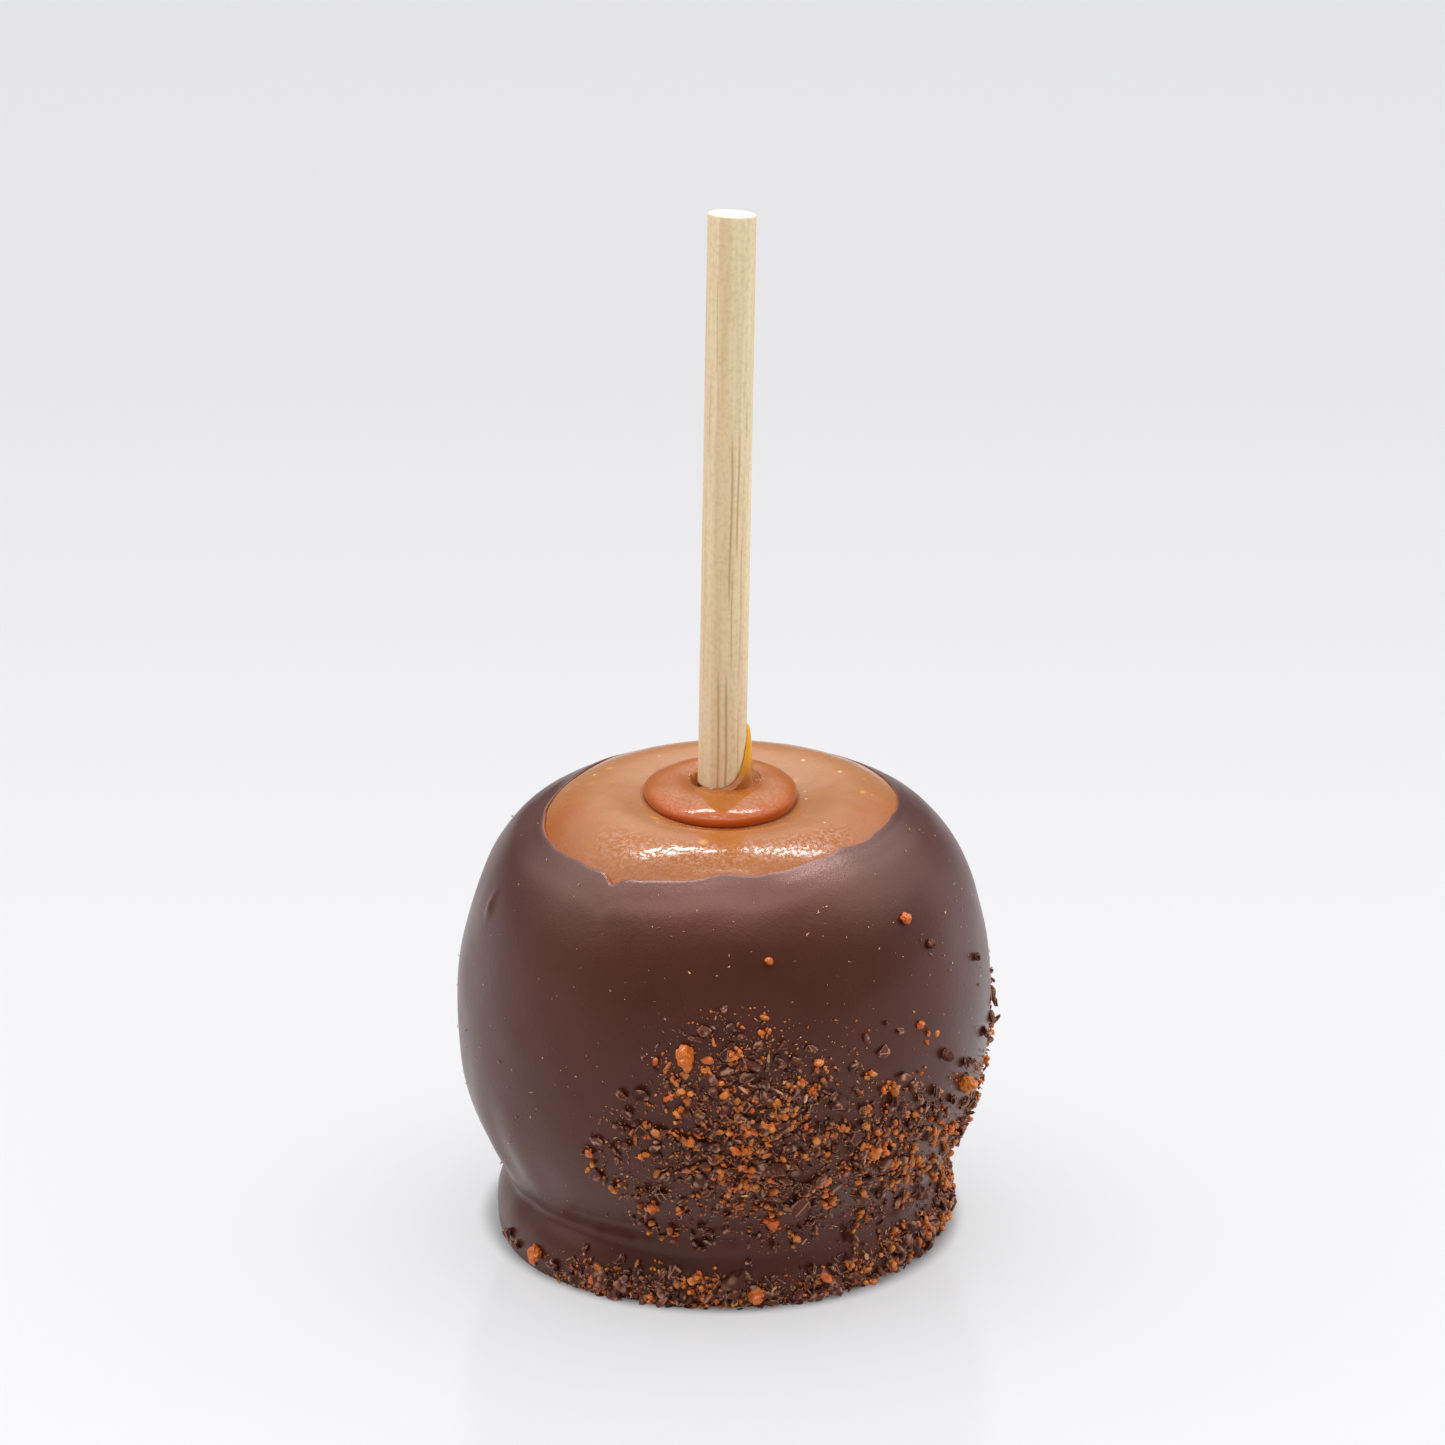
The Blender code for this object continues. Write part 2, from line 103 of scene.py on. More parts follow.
# Crumbs that stand out: (azimuth, height in mm, size in mm, what they are)
LARGE_CRUMBS = (
    (-8, 42, 4.0, "toffee"), (64, 28, 3.9, "toffee"), (24, 33, 3.3, "chocolate"),
    (34, 24, 2.7, "toffee"), (54, 35.5, 2.5, "brown"), (53, 52, 1.8, "brown"),
    (72, 46, 1.6, "brown"), (47, 56.5, 1.8, "toffee"), (10, 55, 1.4, "toffee"),
    (46, 41.5, 1.5, "toffee"), (12, 14, 2.6, "toffee"), (4, 4.2, 4.1, "brown"),
    (9, 2.2, 3.0, "toffee"), (-51, 2.8, 2.7, "toffee"), (-30, 24.5, 2.1, "chocolate"),
    (-20, 32, 2.1, "chocolate"), (58, 2.5, 3.0, "brown"), (46, 27, 2.2, "chocolate"),
    (-16, 17, 2.1, "toffee"), (28, 28, 3.0, "chocolate"), (38, 31.5, 2.2, "chocolate"),
    (18, 17, 3.2, "chocolate"), (4, 41, 1.8, "chocolate"),
)
PATCH_BELLS = ((14, 0.029, 30, 0.011, 1.0), (66, 0.021, 40, 0.012, 0.45))
PATCH_EDGE = 0.08
PATCH_TOP = 0.0506
PATCH_CRUMBS = 88
FOOT_CRUMBS = 44
FOOT_CRUMBS_START = (-52, -30)
FOOT_CRUMBS_STOP = (90, 150)
FOOT_CRUMBS_ELSEWHERE = 0.1
CRUMB_SIZES = (0.0014, 0.0023)
CRUMB_SPACING = 0.6
CRUMBED_RADIUS = 0.85 * BODY_RADIUS
CRUMB_SEED = 11

# --- Sizes that only the looks have

SEAM_GAP = 0.00004
FINE_RIM_WAVES = ((9, 12, 0.00012), (23, 4, 0.00006), (41, 9, 0.00003))
# Ridges along the chocolate's rim: (distance below it, width, height)
RIM_RIDGES = ((0.0018, 0.0009, 0.00003), (0.0034, 0.0012, -0.00003), (0.0056, 0.0018, 0.00002))
# How much thinner the chocolate is at its rim, and how far down it is back to full thickness
RIM_THINNING = 0.00026
RIM_THICKENED = 0.0060
# How pale the rounded lip of the rim is painted, from its inside to its outside: the thin edge's warm tone
# together with a painted highlight along it
LIP_HIGHLIGHT_TONES = (0.2, 0.5, 0.9, 1, 1, 0.7, 0.3, 0.1, 0)
# Crumb cover: (azimuth, height, half widths, slant in degrees of azimuth per metre, share)
COVER_BELLS = (
    (8, 0.0290, 15, 0.0110, -300, 1.0), (32, 0.0245, 19, 0.0070, -500, 0.64),
    (68, 0.0210, 20, 0.0090, -500, 0.14), (-14, 0.0250, 11, 0.0085, 0, 0.25),
    (38, 0.0130, 24, 0.0060, 0, 0.18), (-8, 0.0160, 14, 0.0060, 0, 0.12),
    (76, 0.0090, 20, 0.0060, 0, 0.14), (94, 0.0300, 14, 0.0110, 0, 0.07),
    (15, 0.0430, 30, 0.0050, 0, 0.05),
)
COVER_EDGE = 0.03
BED_THICKNESS = 0.0002
# Where the groove above the foot is filled more softly
CREASE_FILLED = ((8, 40, 0.0016),)
# Share of the foot that crumbs hide, how high up it they reach, in front and further round, and
# from where to where it changes
FOOT_COVER = 0.95
FOOT_COVER_TOPS = ((0.0030, 0.0060), (0.0040, 0.0078))
FOOT_COVER_FURTHER = (15, 50)

# Lights: (name, place, size, watts)
LIGHTS = (
    ("back_left", (-0.24, 0.34, 0.92), (0.42, 0.13), 3.7),
    ("back_right", (0.23, 0.37, 0.92), (0.42, 0.13), 3.3),
    ("overhead", (-0.05, -0.36, 0.95), (0.80, 0.28), 1.9),
    ("strip", (-0.03, -0.09, 0.93), (0.30, 0.03), 0.3),
    ("left", (-0.80, -0.05, 0.80), (0.90, 0.90), 1.4),
    ("right", (0.80, -0.05, 0.80), (0.90, 0.90), 1.2),
    ("right_low", (1.00, 0.60, 0.28), (0.50, 0.50), 0.5),
)
FLOOR_HALF = 3.0


# --- Curves

def smooth_step(value, start, end):
    """0 before start, 1 after end, with a smooth rise between them."""
    share = np.clip((value - start) / (end - start), 0, 1)
    return share * share * (3 - 2 * share)


def turned(degrees):
    """The same angle between -180 and 180 degrees."""
    return (degrees + 180) % 360 - 180


def waves(terms, azimuth):
    """Sum of cosines round the apple."""
    return sum(size * np.cos(np.radians(turns * (azimuth - crest))) for turns, crest, size in terms)


def bites(terms, azimuth):
    """Sum of bell curves round the apple."""
    return sum(size * bell(turned(azimuth - place), 0, width) for place, width, size in terms)


def bell(value, middle, width):
    """1 at the middle, falling off on both sides."""
    return np.exp(-((value - middle) / width) ** 2)


def unit(vectors):
    """Vectors at length one."""
    return vectors / np.linalg.norm(vectors, axis=-1, keepdims=True)


def ripple(points, wavelength, seed, count=24):
    """Smooth lumps about a wavelength across, mostly between -1 and 1: a sum of plane waves
    that run in random directions."""
    random = np.random.default_rng(seed)
    lengths = wavelength * random.uniform(0.7, 1.5, (count, 1))
    steps = 2 * math.pi * unit(random.normal(size=(count, 3))) / lengths
    phases = random.uniform(0, 2 * math.pi, count)
    return np.cos(points @ steps.T + phases).sum(axis=-1) / math.sqrt(2 * count)


def meridian(angle):
    """Radius and height of the outer shape at an angle down from its top pole: a power curve
    above the equator and one below it, less a basin round the stick, and with swells."""
    crown = angle < math.pi / 2
    sine = np.abs(np.sin(angle))
    cosine = np.abs(np.cos(angle))
    radius = BODY_RADIUS * sine ** np.where(crown, CROWN_POWERS[0], BASE_POWERS[0])
    above = CROWN_RISE * cosine ** CROWN_POWERS[1]
    below = -BASE_DROP * cosine ** BASE_POWERS[1]
    height = EQUATOR_HEIGHT + np.where(crown, above, below)
    swell = sum(size * bell(height, place, width) for place, width, size in SWELLS)
    return radius + swell * sine, height - BASIN_DEPTH * bell(radius, 0, BASIN_RADIUS)


def inset(angle, depth):
    """The meridian moved inwards along its normal, as (..., radius and height)."""
    step = 1e-4
    after = np.array(meridian(angle + step))
    before = np.array(meridian(np.maximum(angle - step, 1e-6)))
    run = after - before
    run /= np.hypot(run[0], run[1])
    radius, height = meridian(angle)
    return np.stack([radius + run[1] * depth, height - run[0] * depth], axis=-1)


def coat_depth(angle):
    """How far the caramel lies under the outer shape: nothing at the stick, all below the rim."""
    return COAT_DEPTH * smooth_step(angle, COAT_STARTS, COAT_FULL)


def skin_depth(angle):
    """How far the chocolate's outer face lies under the outer shape: it stands proud of it
    where the chocolate would otherwise be thinner than its least."""
    return np.minimum(coat_depth(angle) - SOLIDS_GAP - COAT_LEAST, 0)


def angle_at_radius(radius):
    """Angle of the crown's point at this radius."""
    return np.arcsin((radius / BODY_RADIUS) ** (1 / CROWN_POWERS[0]))


def angle_at_height(height):
    """Angle of the lower curve's point at this height."""
    return math.pi - np.arccos(((EQUATOR_HEIGHT - height) / BASE_DROP) ** (1 / BASE_POWERS[1]))


# Angles down the meridian, closer together at its pole, and the length along it to each
CURVE_ANGLES = math.pi * np.linspace(0.004, 0.95, 4000) ** 2
CURVE_LENGTHS = np.concatenate([[0], np.cumsum(np.hypot(*np.diff(np.array(meridian(CURVE_ANGLES)))))])


def length_at(angle):
    """Length along the meridian to an angle."""
    return np.interp(angle, CURVE_ANGLES, CURVE_LENGTHS)


def spaced(start, end, count):
    """Angles at equal lengths along the meridian from start to end, both included."""
    lengths = length_at(start) + (length_at(end) - length_at(start)) * np.linspace(0, 1, count)
    return np.interp(lengths, CURVE_LENGTHS, CURVE_ANGLES)


def smooth_max(one, other, softness):
    """The larger of two values, with a rounded change from one to the other."""
    return (one + other + np.sqrt((one - other) ** 2 + softness ** 2)) / 2


# --- Meshes

def round_steps(count):
    """Azimuths all the way round, as a column."""
    return np.arange(count)[:, None] * 360 / count


def carried_round(section, azimuth, middle):
    """Points of half sections (steps, rings, radius and height) about the middle at each height."""
    radius, height = section[..., 0], section[..., 1]
    turn = np.radians(azimuth)
    centre = middle(radius, height)
    x = centre[..., 0] + radius * np.sin(turn)
    y = centre[..., 1] - radius * np.cos(turn)
    return np.stack([x, y, height], axis=-1)


def body_middle(radius, height):
    """Middle of the apple at this height: it leans a little to its right."""
    return np.stack([BODY_LEAN * (height - LEAN_FROM_HEIGHT), np.zeros_like(height)], axis=-1)


def grid_normals(points):
    """Outward directions at a grid of points (steps round, rings down the outer side)."""
    round_run = np.roll(points, -1, axis=0) - np.roll(points, 1, axis=0)
    down_run = np.gradient(points, axis=1)
    return unit(np.cross(down_run, round_run) + 1e-15)


def grid_faces(steps, rings, closed):
    """Quads of a grid that is closed round, and also closed along its section if asked."""
    step = np.arange(steps)[:, None]
    ring = np.arange(rings if closed else rings - 1)[None, :]
    after = (step + 1) % steps
    below = (ring + 1) % rings
    corners = (step * rings + ring, step * rings + below, after * rings + below, after * rings + ring)
    return np.stack(corners, axis=-1).reshape(-1, 4)


def new_piece(name, vertices, faces, finish, smooth, values=None):
    """A mesh piece from arrays, with one number for each vertex under each name in values."""
    mesh = bpy.data.meshes.new(name)
    mesh.from_pydata(vertices.reshape(-1, 3).tolist(), [], faces)
    mesh.update()
    for label, numbers in (values or {}).items():
        numbers = np.asarray(numbers, dtype=np.float32)
        kind, key = ("FLOAT_VECTOR", "vector") if numbers.shape[-1:] == (3,) else ("FLOAT", "value")
        mesh.attributes.new(label, kind, "POINT").data.foreach_set(key, numbers.ravel())
    mesh.polygons.foreach_set("use_smooth", np.full(len(mesh.polygons), smooth))
    piece = bpy.data.objects.new(name, mesh)
    bpy.context.scene.collection.objects.link(piece)
    mesh.materials.append(FINISHES[finish])
    return piece


def turned_piece(name, points, finish, values):
    """A closed body from a grid (steps round, rings from the inner or top pole, down the outer
    side, to the bottom pole). The first and last rings are points, so each is one vertex."""
    steps, rings = points.shape[0], points.shape[1] - 2
    here = np.arange(steps) * rings
    after = np.roll(here, -1)
    pole = np.full(steps, steps * rings)
    fans = (np.stack([pole, here, after], axis=-1),
            np.stack([here + rings - 1, pole + 1, after + rings - 1], axis=-1))
    faces = grid_faces(steps, rings, closed=False).tolist() + np.concatenate(fans).tolist()

    def joined(grid):
        """A grid's rings one after another, and then its poles."""
        return np.concatenate([grid[:, 1:-1].reshape(-1, *grid.shape[2:]), grid[:, [0, -1]].mean(axis=0)])

    kept = {label: joined(numbers) for label, numbers in values.items()}
    return new_piece(name, joined(points), faces, finish, True, kept)


def with_pole(section, height):
    """A section with a point on the axis at this height after it."""
    pole = np.zeros_like(section[:, :1])
    pole[..., 1] = height
    return np.concatenate([section, pole], axis=1)


# --- Finishes

def linear(red, green, blue):
    """A colour given as 0 to 255, as Blender's linear colour."""
    parts = np.array([red, green, blue]) / 255
    return (*np.where(parts <= 0.04045, parts / 12.92, ((parts + 0.055) / 1.055) ** 2.4), 1)


class Nodes:
    """A node tree being made, with what its nodes are made by."""

    def __init__(self, tree):
        self.tree = tree

    def add(self, kind, **settings):
        """A new node with some of its settings."""
        node = self.tree.nodes.new(kind)
        for name, value in settings.items():
            setattr(node, name, value)
        return node

    def feed(self, target, source):
        """A link to a socket, or the value that it is set to."""
        if isinstance(source, bpy.types.NodeSocket):
            self.tree.links.new(source, target)
        else:
            target.default_value = source

    def fed(self, node, *sources):
        """A node's first result, with its first sockets fed in their order."""
        for socket, source in zip(node.inputs, sources):
            self.feed(socket, source)
        return node.outputs[0]

    def supplied(self, node, **sources):
        """The node, with the sockets of these names fed."""
        for label, source in sources.items():
            self.feed(node.inputs[label.replace("_", " ")], source)
        return node

    def maths(self, operation, *sources):
        """One Math node's result."""
        return self.fed(self.add("ShaderNodeMath", operation=operation), *sources)

    def between(self, value, low, high, to_low=0.0, to_high=1.0):
        """A value mapped smoothly from one range to another."""
        node = self.add("ShaderNodeMapRange", interpolation_type="SMOOTHSTEP")
        return self.fed(node, value, low, high, to_low, to_high)

    def blended(self, factor, first, second):
        """Two colours mixed by a factor."""
        node = self.add("ShaderNodeMix", data_type="RGBA")
        for number, source in ((0, factor), (6, first), (7, second)):
            self.feed(node.inputs[number], source)
        return node.outputs[2]

    def attribute(self, name, output="Fac"):
        """The numbers that a piece's mesh holds under a name."""
        return self.add("ShaderNodeAttribute", attribute_name=name).outputs[output]

    def place(self, output="Object"):
        """Where a point is, in Object space if not told otherwise."""
        return self.add("ShaderNodeTexCoord").outputs[output]

    def parts(self, vector):
        """A vector's three numbers."""
        node = self.add("ShaderNodeSeparateXYZ")
        self.feed(node.inputs[0], vector)
        return node.outputs

    def noise(self, vector, scale, detail, roughness=0.5):
        """A noise texture's value."""
        node = self.supplied(self.add("ShaderNodeTexNoise"), Vector=vector, Scale=scale, Detail=detail,
                             Roughness=roughness)
        return node.outputs["Fac"]

    def effect(self, name, **values):
        """A shared effect's result, with this material's own values."""
        return self.supplied(self.add("ShaderNodeGroup", node_tree=GROUPS[name]), **values).outputs[0]


def new_group(name, output, **usual):
    """A node group of numbers: its nodes, what it is given, with the usual values, and its result."""
    tree = bpy.data.node_groups.new(name, "ShaderNodeTree")
    for label, value in usual.items():
        socket = tree.interface.new_socket(label.replace("_", " "), in_out="INPUT",
                                           socket_type="NodeSocketFloat")
        socket.default_value = value
    tree.interface.new_socket(output, in_out="OUTPUT", socket_type="NodeSocketFloat")
    nodes = Nodes(tree)
    return nodes, nodes.add("NodeGroupInput").outputs, nodes.add("NodeGroupOutput").inputs[0]


def mottling_group():
    """Cloudy patches: noise in Object space with its contrast raised."""
    nodes, given, result = new_group("Mottling", "Mask", Scale=100.0, Low=0.35, High=0.65)
    patches = nodes.noise(nodes.place(), given["Scale"], 3.0)
    nodes.feed(result, nodes.between(patches, given["Low"], given["High"]))
    return nodes.tree


def speck_group():
    """Small round specks: the middles of some of the cells of a Voronoi texture in Object space."""
    nodes, given, result = new_group("Specks", "Mask", Scale=400.0, Radius=0.12, Share=0.3)
    cells = nodes.supplied(nodes.add("ShaderNodeTexVoronoi"), Vector=nodes.place(), Scale=given["Scale"])
    lot = nodes.add("ShaderNodeSeparateColor")
    nodes.feed(lot.inputs[0], cells.outputs["Color"])
    chosen = nodes.maths("LESS_THAN", lot.outputs[0], given["Share"])
    sized = nodes.maths("MULTIPLY", given["Radius"], lot.outputs[1])
    near = nodes.between(cells.outputs["Distance"], sized, 0.0)
    nodes.feed(result, nodes.maths("MULTIPLY", chosen, near))
    return nodes.tree


def relief_group():
    """Fine unevenness: two noises in Object space, one four times finer, by their shares."""
    nodes, given, result = new_group("Relief", "Height", Scale=500.0, Fine_Share=0.4)
    place = nodes.place()
    mixed = nodes.add("ShaderNodeMix", data_type="FLOAT")
    nodes.feed(mixed.inputs[0], given["Fine Share"])
    nodes.feed(mixed.inputs[2], nodes.noise(place, given["Scale"], 2.0))
    finer = nodes.maths("MULTIPLY", given["Scale"], 4.0)
    nodes.feed(mixed.inputs[3], nodes.noise(place, finer, 2.0))
    nodes.feed(result, mixed.outputs[0])
    return nodes.tree


GROUPS = {"Mottling": mottling_group(), "Specks": speck_group(), "Relief": relief_group()}


class Finish(Nodes):
    """A material being made. Its constants are set on its shader's own sockets."""

    def __init__(self, name, **constants):
        self.material = bpy.data.materials.new(name)
        self.material.use_nodes = True
        super().__init__(self.material.node_tree)
        self.sockets = self.supplied(self.tree.nodes["Principled BSDF"], **constants).inputs

    def paint(self, factor, low, high, *layers):
        """The base colour: two tones mixed by a factor, and over them layers of (mask, share, tone)."""
        colour = self.blended(factor, linear(*low), linear(*high))
        for mask, share, tone in layers:
            cover = mask if share == 1 else self.maths("MULTIPLY", mask, share)
            colour = self.blended(cover, colour, linear(*tone))
        self.feed(self.sockets["Base Color"], colour)

    def vary(self, label, mask, low, high):
        """A socket that a mask takes smoothly from low to high."""
        self.feed(self.sockets[label], self.between(mask, 0.0, 1.0, low, high))

    def roughen(self, height, strength, distance=0.0002):
        """The normal bumped by a height."""
        bump = self.supplied(self.add("ShaderNodeBump"), Strength=strength, Distance=distance, Height=height)
        self.feed(self.sockets["Normal"], bump.outputs["Normal"])


def chocolate_finish():
    """Satin chocolate: faintly cloudy, with pale specks, a pale warm line on the rim's lip that is partly the
    thin edge's own tone and partly a painted highlight, and a rough dusty bed where the crumbs lie."""
    finish = Finish("chocolate", Specular_IOR_Level=0.60, Specular_Tint=(1.0, 0.60, 0.54, 1))
    cloud = finish.effect("Mottling", Scale=70.0, Low=0.3, High=0.7)
    bed = finish.attribute("bed")
    dusty = finish.maths("MULTIPLY", bed, finish.effect("Mottling", Scale=900.0, Low=0.45, High=0.75))
    specks = finish.effect("Specks", Scale=330.0, Radius=0.09, Share=0.18)
    # The lip layer is partly the thin edge's warm tone and partly a painted highlight.
    finish.paint(cloud, (66, 29, 17), (74, 34, 22), (dusty, 0.45, (110, 60, 38)),
                 (specks, 0.8, (190, 130, 98)), (finish.attribute("lip"), 1, (216, 130, 98)))
    plain = finish.between(cloud, 0.0, 1.0, 0.28, 0.34)
    finish.feed(finish.sockets["Roughness"], finish.maths("MULTIPLY_ADD", bed, 0.25, plain))
    finish.roughen(finish.effect("Relief", Scale=1300.0, Fine_Share=0.45), 0.16, 0.0003)
    return finish.material


def caramel_finish():
    """Soft caramel: cloudy, with amber and pale flecks, paler away from its front middle as a painted haze of
    reflected bright surroundings, and a skin that breaks its highlights up where it is lit."""
    finish = Finish("caramel", Specular_IOR_Level=0.1, Coat_Roughness=0.12, Subsurface_Weight=0.12,
                    Subsurface_Scale=0.003, Subsurface_Radius=(1.0, 0.45, 0.2))
    cloud = finish.effect("Mottling", Scale=110.0, Low=0.3, High=0.7)
    amber = finish.effect("Specks", Scale=300.0, Radius=0.35, Share=0.35)
    pale = finish.effect("Specks", Scale=420.0, Radius=0.2, Share=0.3)
    # The pale layer from the mesh is a painted hazy reflection of the bright surroundings.
    finish.paint(cloud, (156, 84, 24), (164, 94, 32), (finish.attribute("pale"), 1, (168, 114, 70)),
                 (amber, 0.6, (228, 160, 66)), (pale, 0.9, (255, 225, 180)))
    glints = finish.effect("Mottling", Scale=1900.0, Low=0.47, High=0.58)
    broken = finish.maths("SUBTRACT", finish.between(glints, 0.0, 1.0, 0.08, 0.90), 0.42)
    coat = finish.maths("MULTIPLY_ADD", finish.attribute("lit"), broken, 0.42)
    finish.feed(finish.sockets["Coat Weight"], coat)
    finish.vary("Roughness", cloud, 0.20, 0.30)
    finish.roughen(finish.effect("Relief", Scale=1400.0, Fine_Share=0.1), 0.4)
    return finish.material


def collar_finish():
    """Glossy pooled caramel, deeper red-orange at its lower edge, partly its own colour and partly painted
    shade strongest in front, with a painted shade line in the crease at its foot, and amber where it is thin.
    """
    finish = Finish("collar", Coat_Roughness=0.06, Specular_IOR_Level=0.12)
    cloud = finish.effect("Mottling", Scale=160.0, Low=0.3, High=0.7)
    # The edge layer is partly the thick caramel's own deeper colour and partly painted shade; the crease
    # layer is painted shade.
    finish.paint(cloud, (162, 90, 32), (168, 98, 42), (finish.attribute("edge"), 1, (182, 84, 20)),
                 (finish.attribute("crease_shade"), 1, (96, 26, 4)), (finish.attribute("film"), 1, (240, 168, 34)))
    finish.vary("Roughness", cloud, 0.16, 0.24)
    finish.vary("Coat Weight", finish.effect("Mottling", Scale=2300.0, Low=0.35, High=0.62), 0.05, 0.5)
    finish.roughen(finish.effect("Relief", Scale=1300.0, Fine_Share=0.1), 0.12)
    return finish.material


def wood_finish():
    """Pale plain wood: fibres and a few brown lines that run along the stick."""
    finish = Finish("wood")
    along = finish.attribute("grain", "Vector")
    broad = finish.between(finish.noise(along, 320.0, 2.0), 0.35, 0.65)
    fibres = finish.between(finish.noise(along, 1700.0, 3.0, 0.6), 0.3, 0.7)
    flecks = finish.effect("Mottling", Scale=1500.0, Low=0.42, High=0.68)
    finish.paint(broad, (238, 212, 166), (252, 232, 190), (fibres, 0.30, (210, 178, 132)),
                 (flecks, 0.22, (196, 158, 110)), (finish.attribute("line"), 1, (196, 146, 88)),
                 (finish.attribute("sawn"), 1, (255, 244, 222)))
    finish.vary("Roughness", fibres, 0.50, 0.62)
    finish.roughen(fibres, 0.25)
    return finish.material


def toffee_finish():
    """Baked toffee: each crumb has its own tone from amber to deep orange, with paler corners painted as
    highlights.
    """
    finish = Finish("toffee", Coat_Roughness=0.22, Specular_IOR_Level=0.3, Specular_Tint=(1.0, 0.8, 0.6, 1))
    tint = finish.attribute("tint")
    cloud = finish.effect("Mottling", Scale=1500.0, Low=0.35, High=0.7)
    # The corner layer is a painted highlight on the parts that stand out.
    finish.paint(finish.between(tint, 0.0, 0.45), (152, 80, 20), (218, 118, 30),
                 (finish.between(tint, 0.45, 0.8), 1, (220, 100, 30)),
                 (finish.between(tint, 0.88, 1.0), 1, (240, 174, 116)),
                 (cloud, 0.4, (138, 54, 10)), (finish.attribute("corner"), 0.4, (255, 176, 96)))
    finish.vary("Roughness", cloud, 0.30, 0.5)
    finish.vary("Coat Weight", cloud, 0.6, 0.1)
    finish.roughen(finish.effect("Relief", Scale=2200.0, Fine_Share=0.3), 0.5)
    return finish.material


def crumb_chocolate_finish():
    """Broken chocolate: dark to milky brown, with pale corners that are partly scuffs and partly painted
    highlight, and some all pale.
    """
    finish = Finish("crumb_chocolate", Specular_IOR_Level=0.3, Specular_Tint=(1.0, 0.56, 0.48, 1))
    tint = finish.attribute("tint")
    cloud = finish.effect("Mottling", Scale=1800.0, Low=0.4, High=0.7)
    # The corner layer is partly scuffs and partly a painted highlight.
    finish.paint(finish.between(tint, 0.0, 0.8), (50, 24, 17), (94, 50, 37), (cloud, 0.35, (112, 62, 48)),
                 (finish.between(tint, 0.88, 1.0), 1, (236, 180, 138)),
                 (finish.attribute("corner"), 0.8, (214, 158, 132)))
    finish.vary("Roughness", cloud, 0.36, 0.55)
    finish.roughen(finish.effect("Relief", Scale=2400.0, Fine_Share=0.4), 0.6)
    return finish.material


def floor_finish():
    """A plain pale floor with a slight sheen, lit a little from below as on a light table, so
    that shadows on it stay faint. This painted glow is dimmer to the back, and dark in a narrow ring round
    the foot as a painted contact shadow."""
    finish = Finish("floor", Roughness=0.12, Specular_IOR_Level=0.16, Emission_Strength=0.48,
                    Base_Color=linear(142, 142, 144))
    x, y, z = finish.parts(finish.place())
    away = finish.between(y, -0.04, 0.45)
    glow = finish.blended(away, (1, 1, 1.01, 1), (0.8, 0.8, 0.81, 1))
    reach = finish.maths("SQRT", finish.maths("MULTIPLY_ADD", y, y, finish.maths("POWER", x, 2.0)))
    # A painted contact shadow: the glow goes dark in a narrow ring round the foot.
    near = finish.between(reach, 0.0335, 0.0368)
    finish.feed(finish.sockets["Emission Color"], finish.blended(near, (0.25, 0.25, 0.25, 1), glow))
    return finish.material


FINISHES = {
    "chocolate": chocolate_finish(), "caramel": caramel_finish(), "collar": collar_finish(),
    "wood": wood_finish(), "toffee": toffee_finish(), "crumb_chocolate": crumb_chocolate_finish(),
    "floor": floor_finish(),
}


# --- Crumb cover

def crumb_cover(azimuth, height):
    """Share of the chocolate that crumbs hide, 0 to 1: bells on the wall that may slant, and the
    crumbed stretch of the foot."""
    cover = np.zeros(np.broadcast(azimuth, height).shape)
    for place, level, width, depth, slant, share in COVER_BELLS:
        across = turned(azimuth - place - slant * (height - level))
        cover = np.maximum(cover, share * bell(across, 0, width) * bell(height, level, depth))
    further = smooth_step(azimuth, *FOOT_COVER_FURTHER)
    low, high = (one + (other - one) * further for one, other in zip(*FOOT_COVER_TOPS))
    cover = np.maximum(cover, FOOT_COVER * foot_dusted(azimuth) * (1 - smooth_step(height, low, high)))
    return np.where(cover > COVER_EDGE, cover, 0)


def foot_dusted(azimuth):
    """1 along the foot's crumbed stretch, falling to 0 at its ends."""
    return smooth_step(azimuth, *FOOT_CRUMBS_START) * (1 - smooth_step(azimuth, *FOOT_CRUMBS_STOP))


# --- Chocolate shell

SHELL_STEPS = 480
SHELL_WALL_RINGS = 122
SHELL_INNER_RINGS = 14
SHELL_LIP_RINGS = len(LIP_HIGHLIGHT_TONES)
SHELL_FOOT_RINGS = 22
SHELL_EDGE_RINGS = 8


def rim_angle(azimuth):
    """Where the chocolate's wandering edge lies on the crown."""
    waved = waves(RIM_WAVES, azimuth) + waves(FINE_RIM_WAVES, azimuth)
    return angle_at_radius(RIM_RADIUS + waved + bites(RIM_BITES, azimuth))


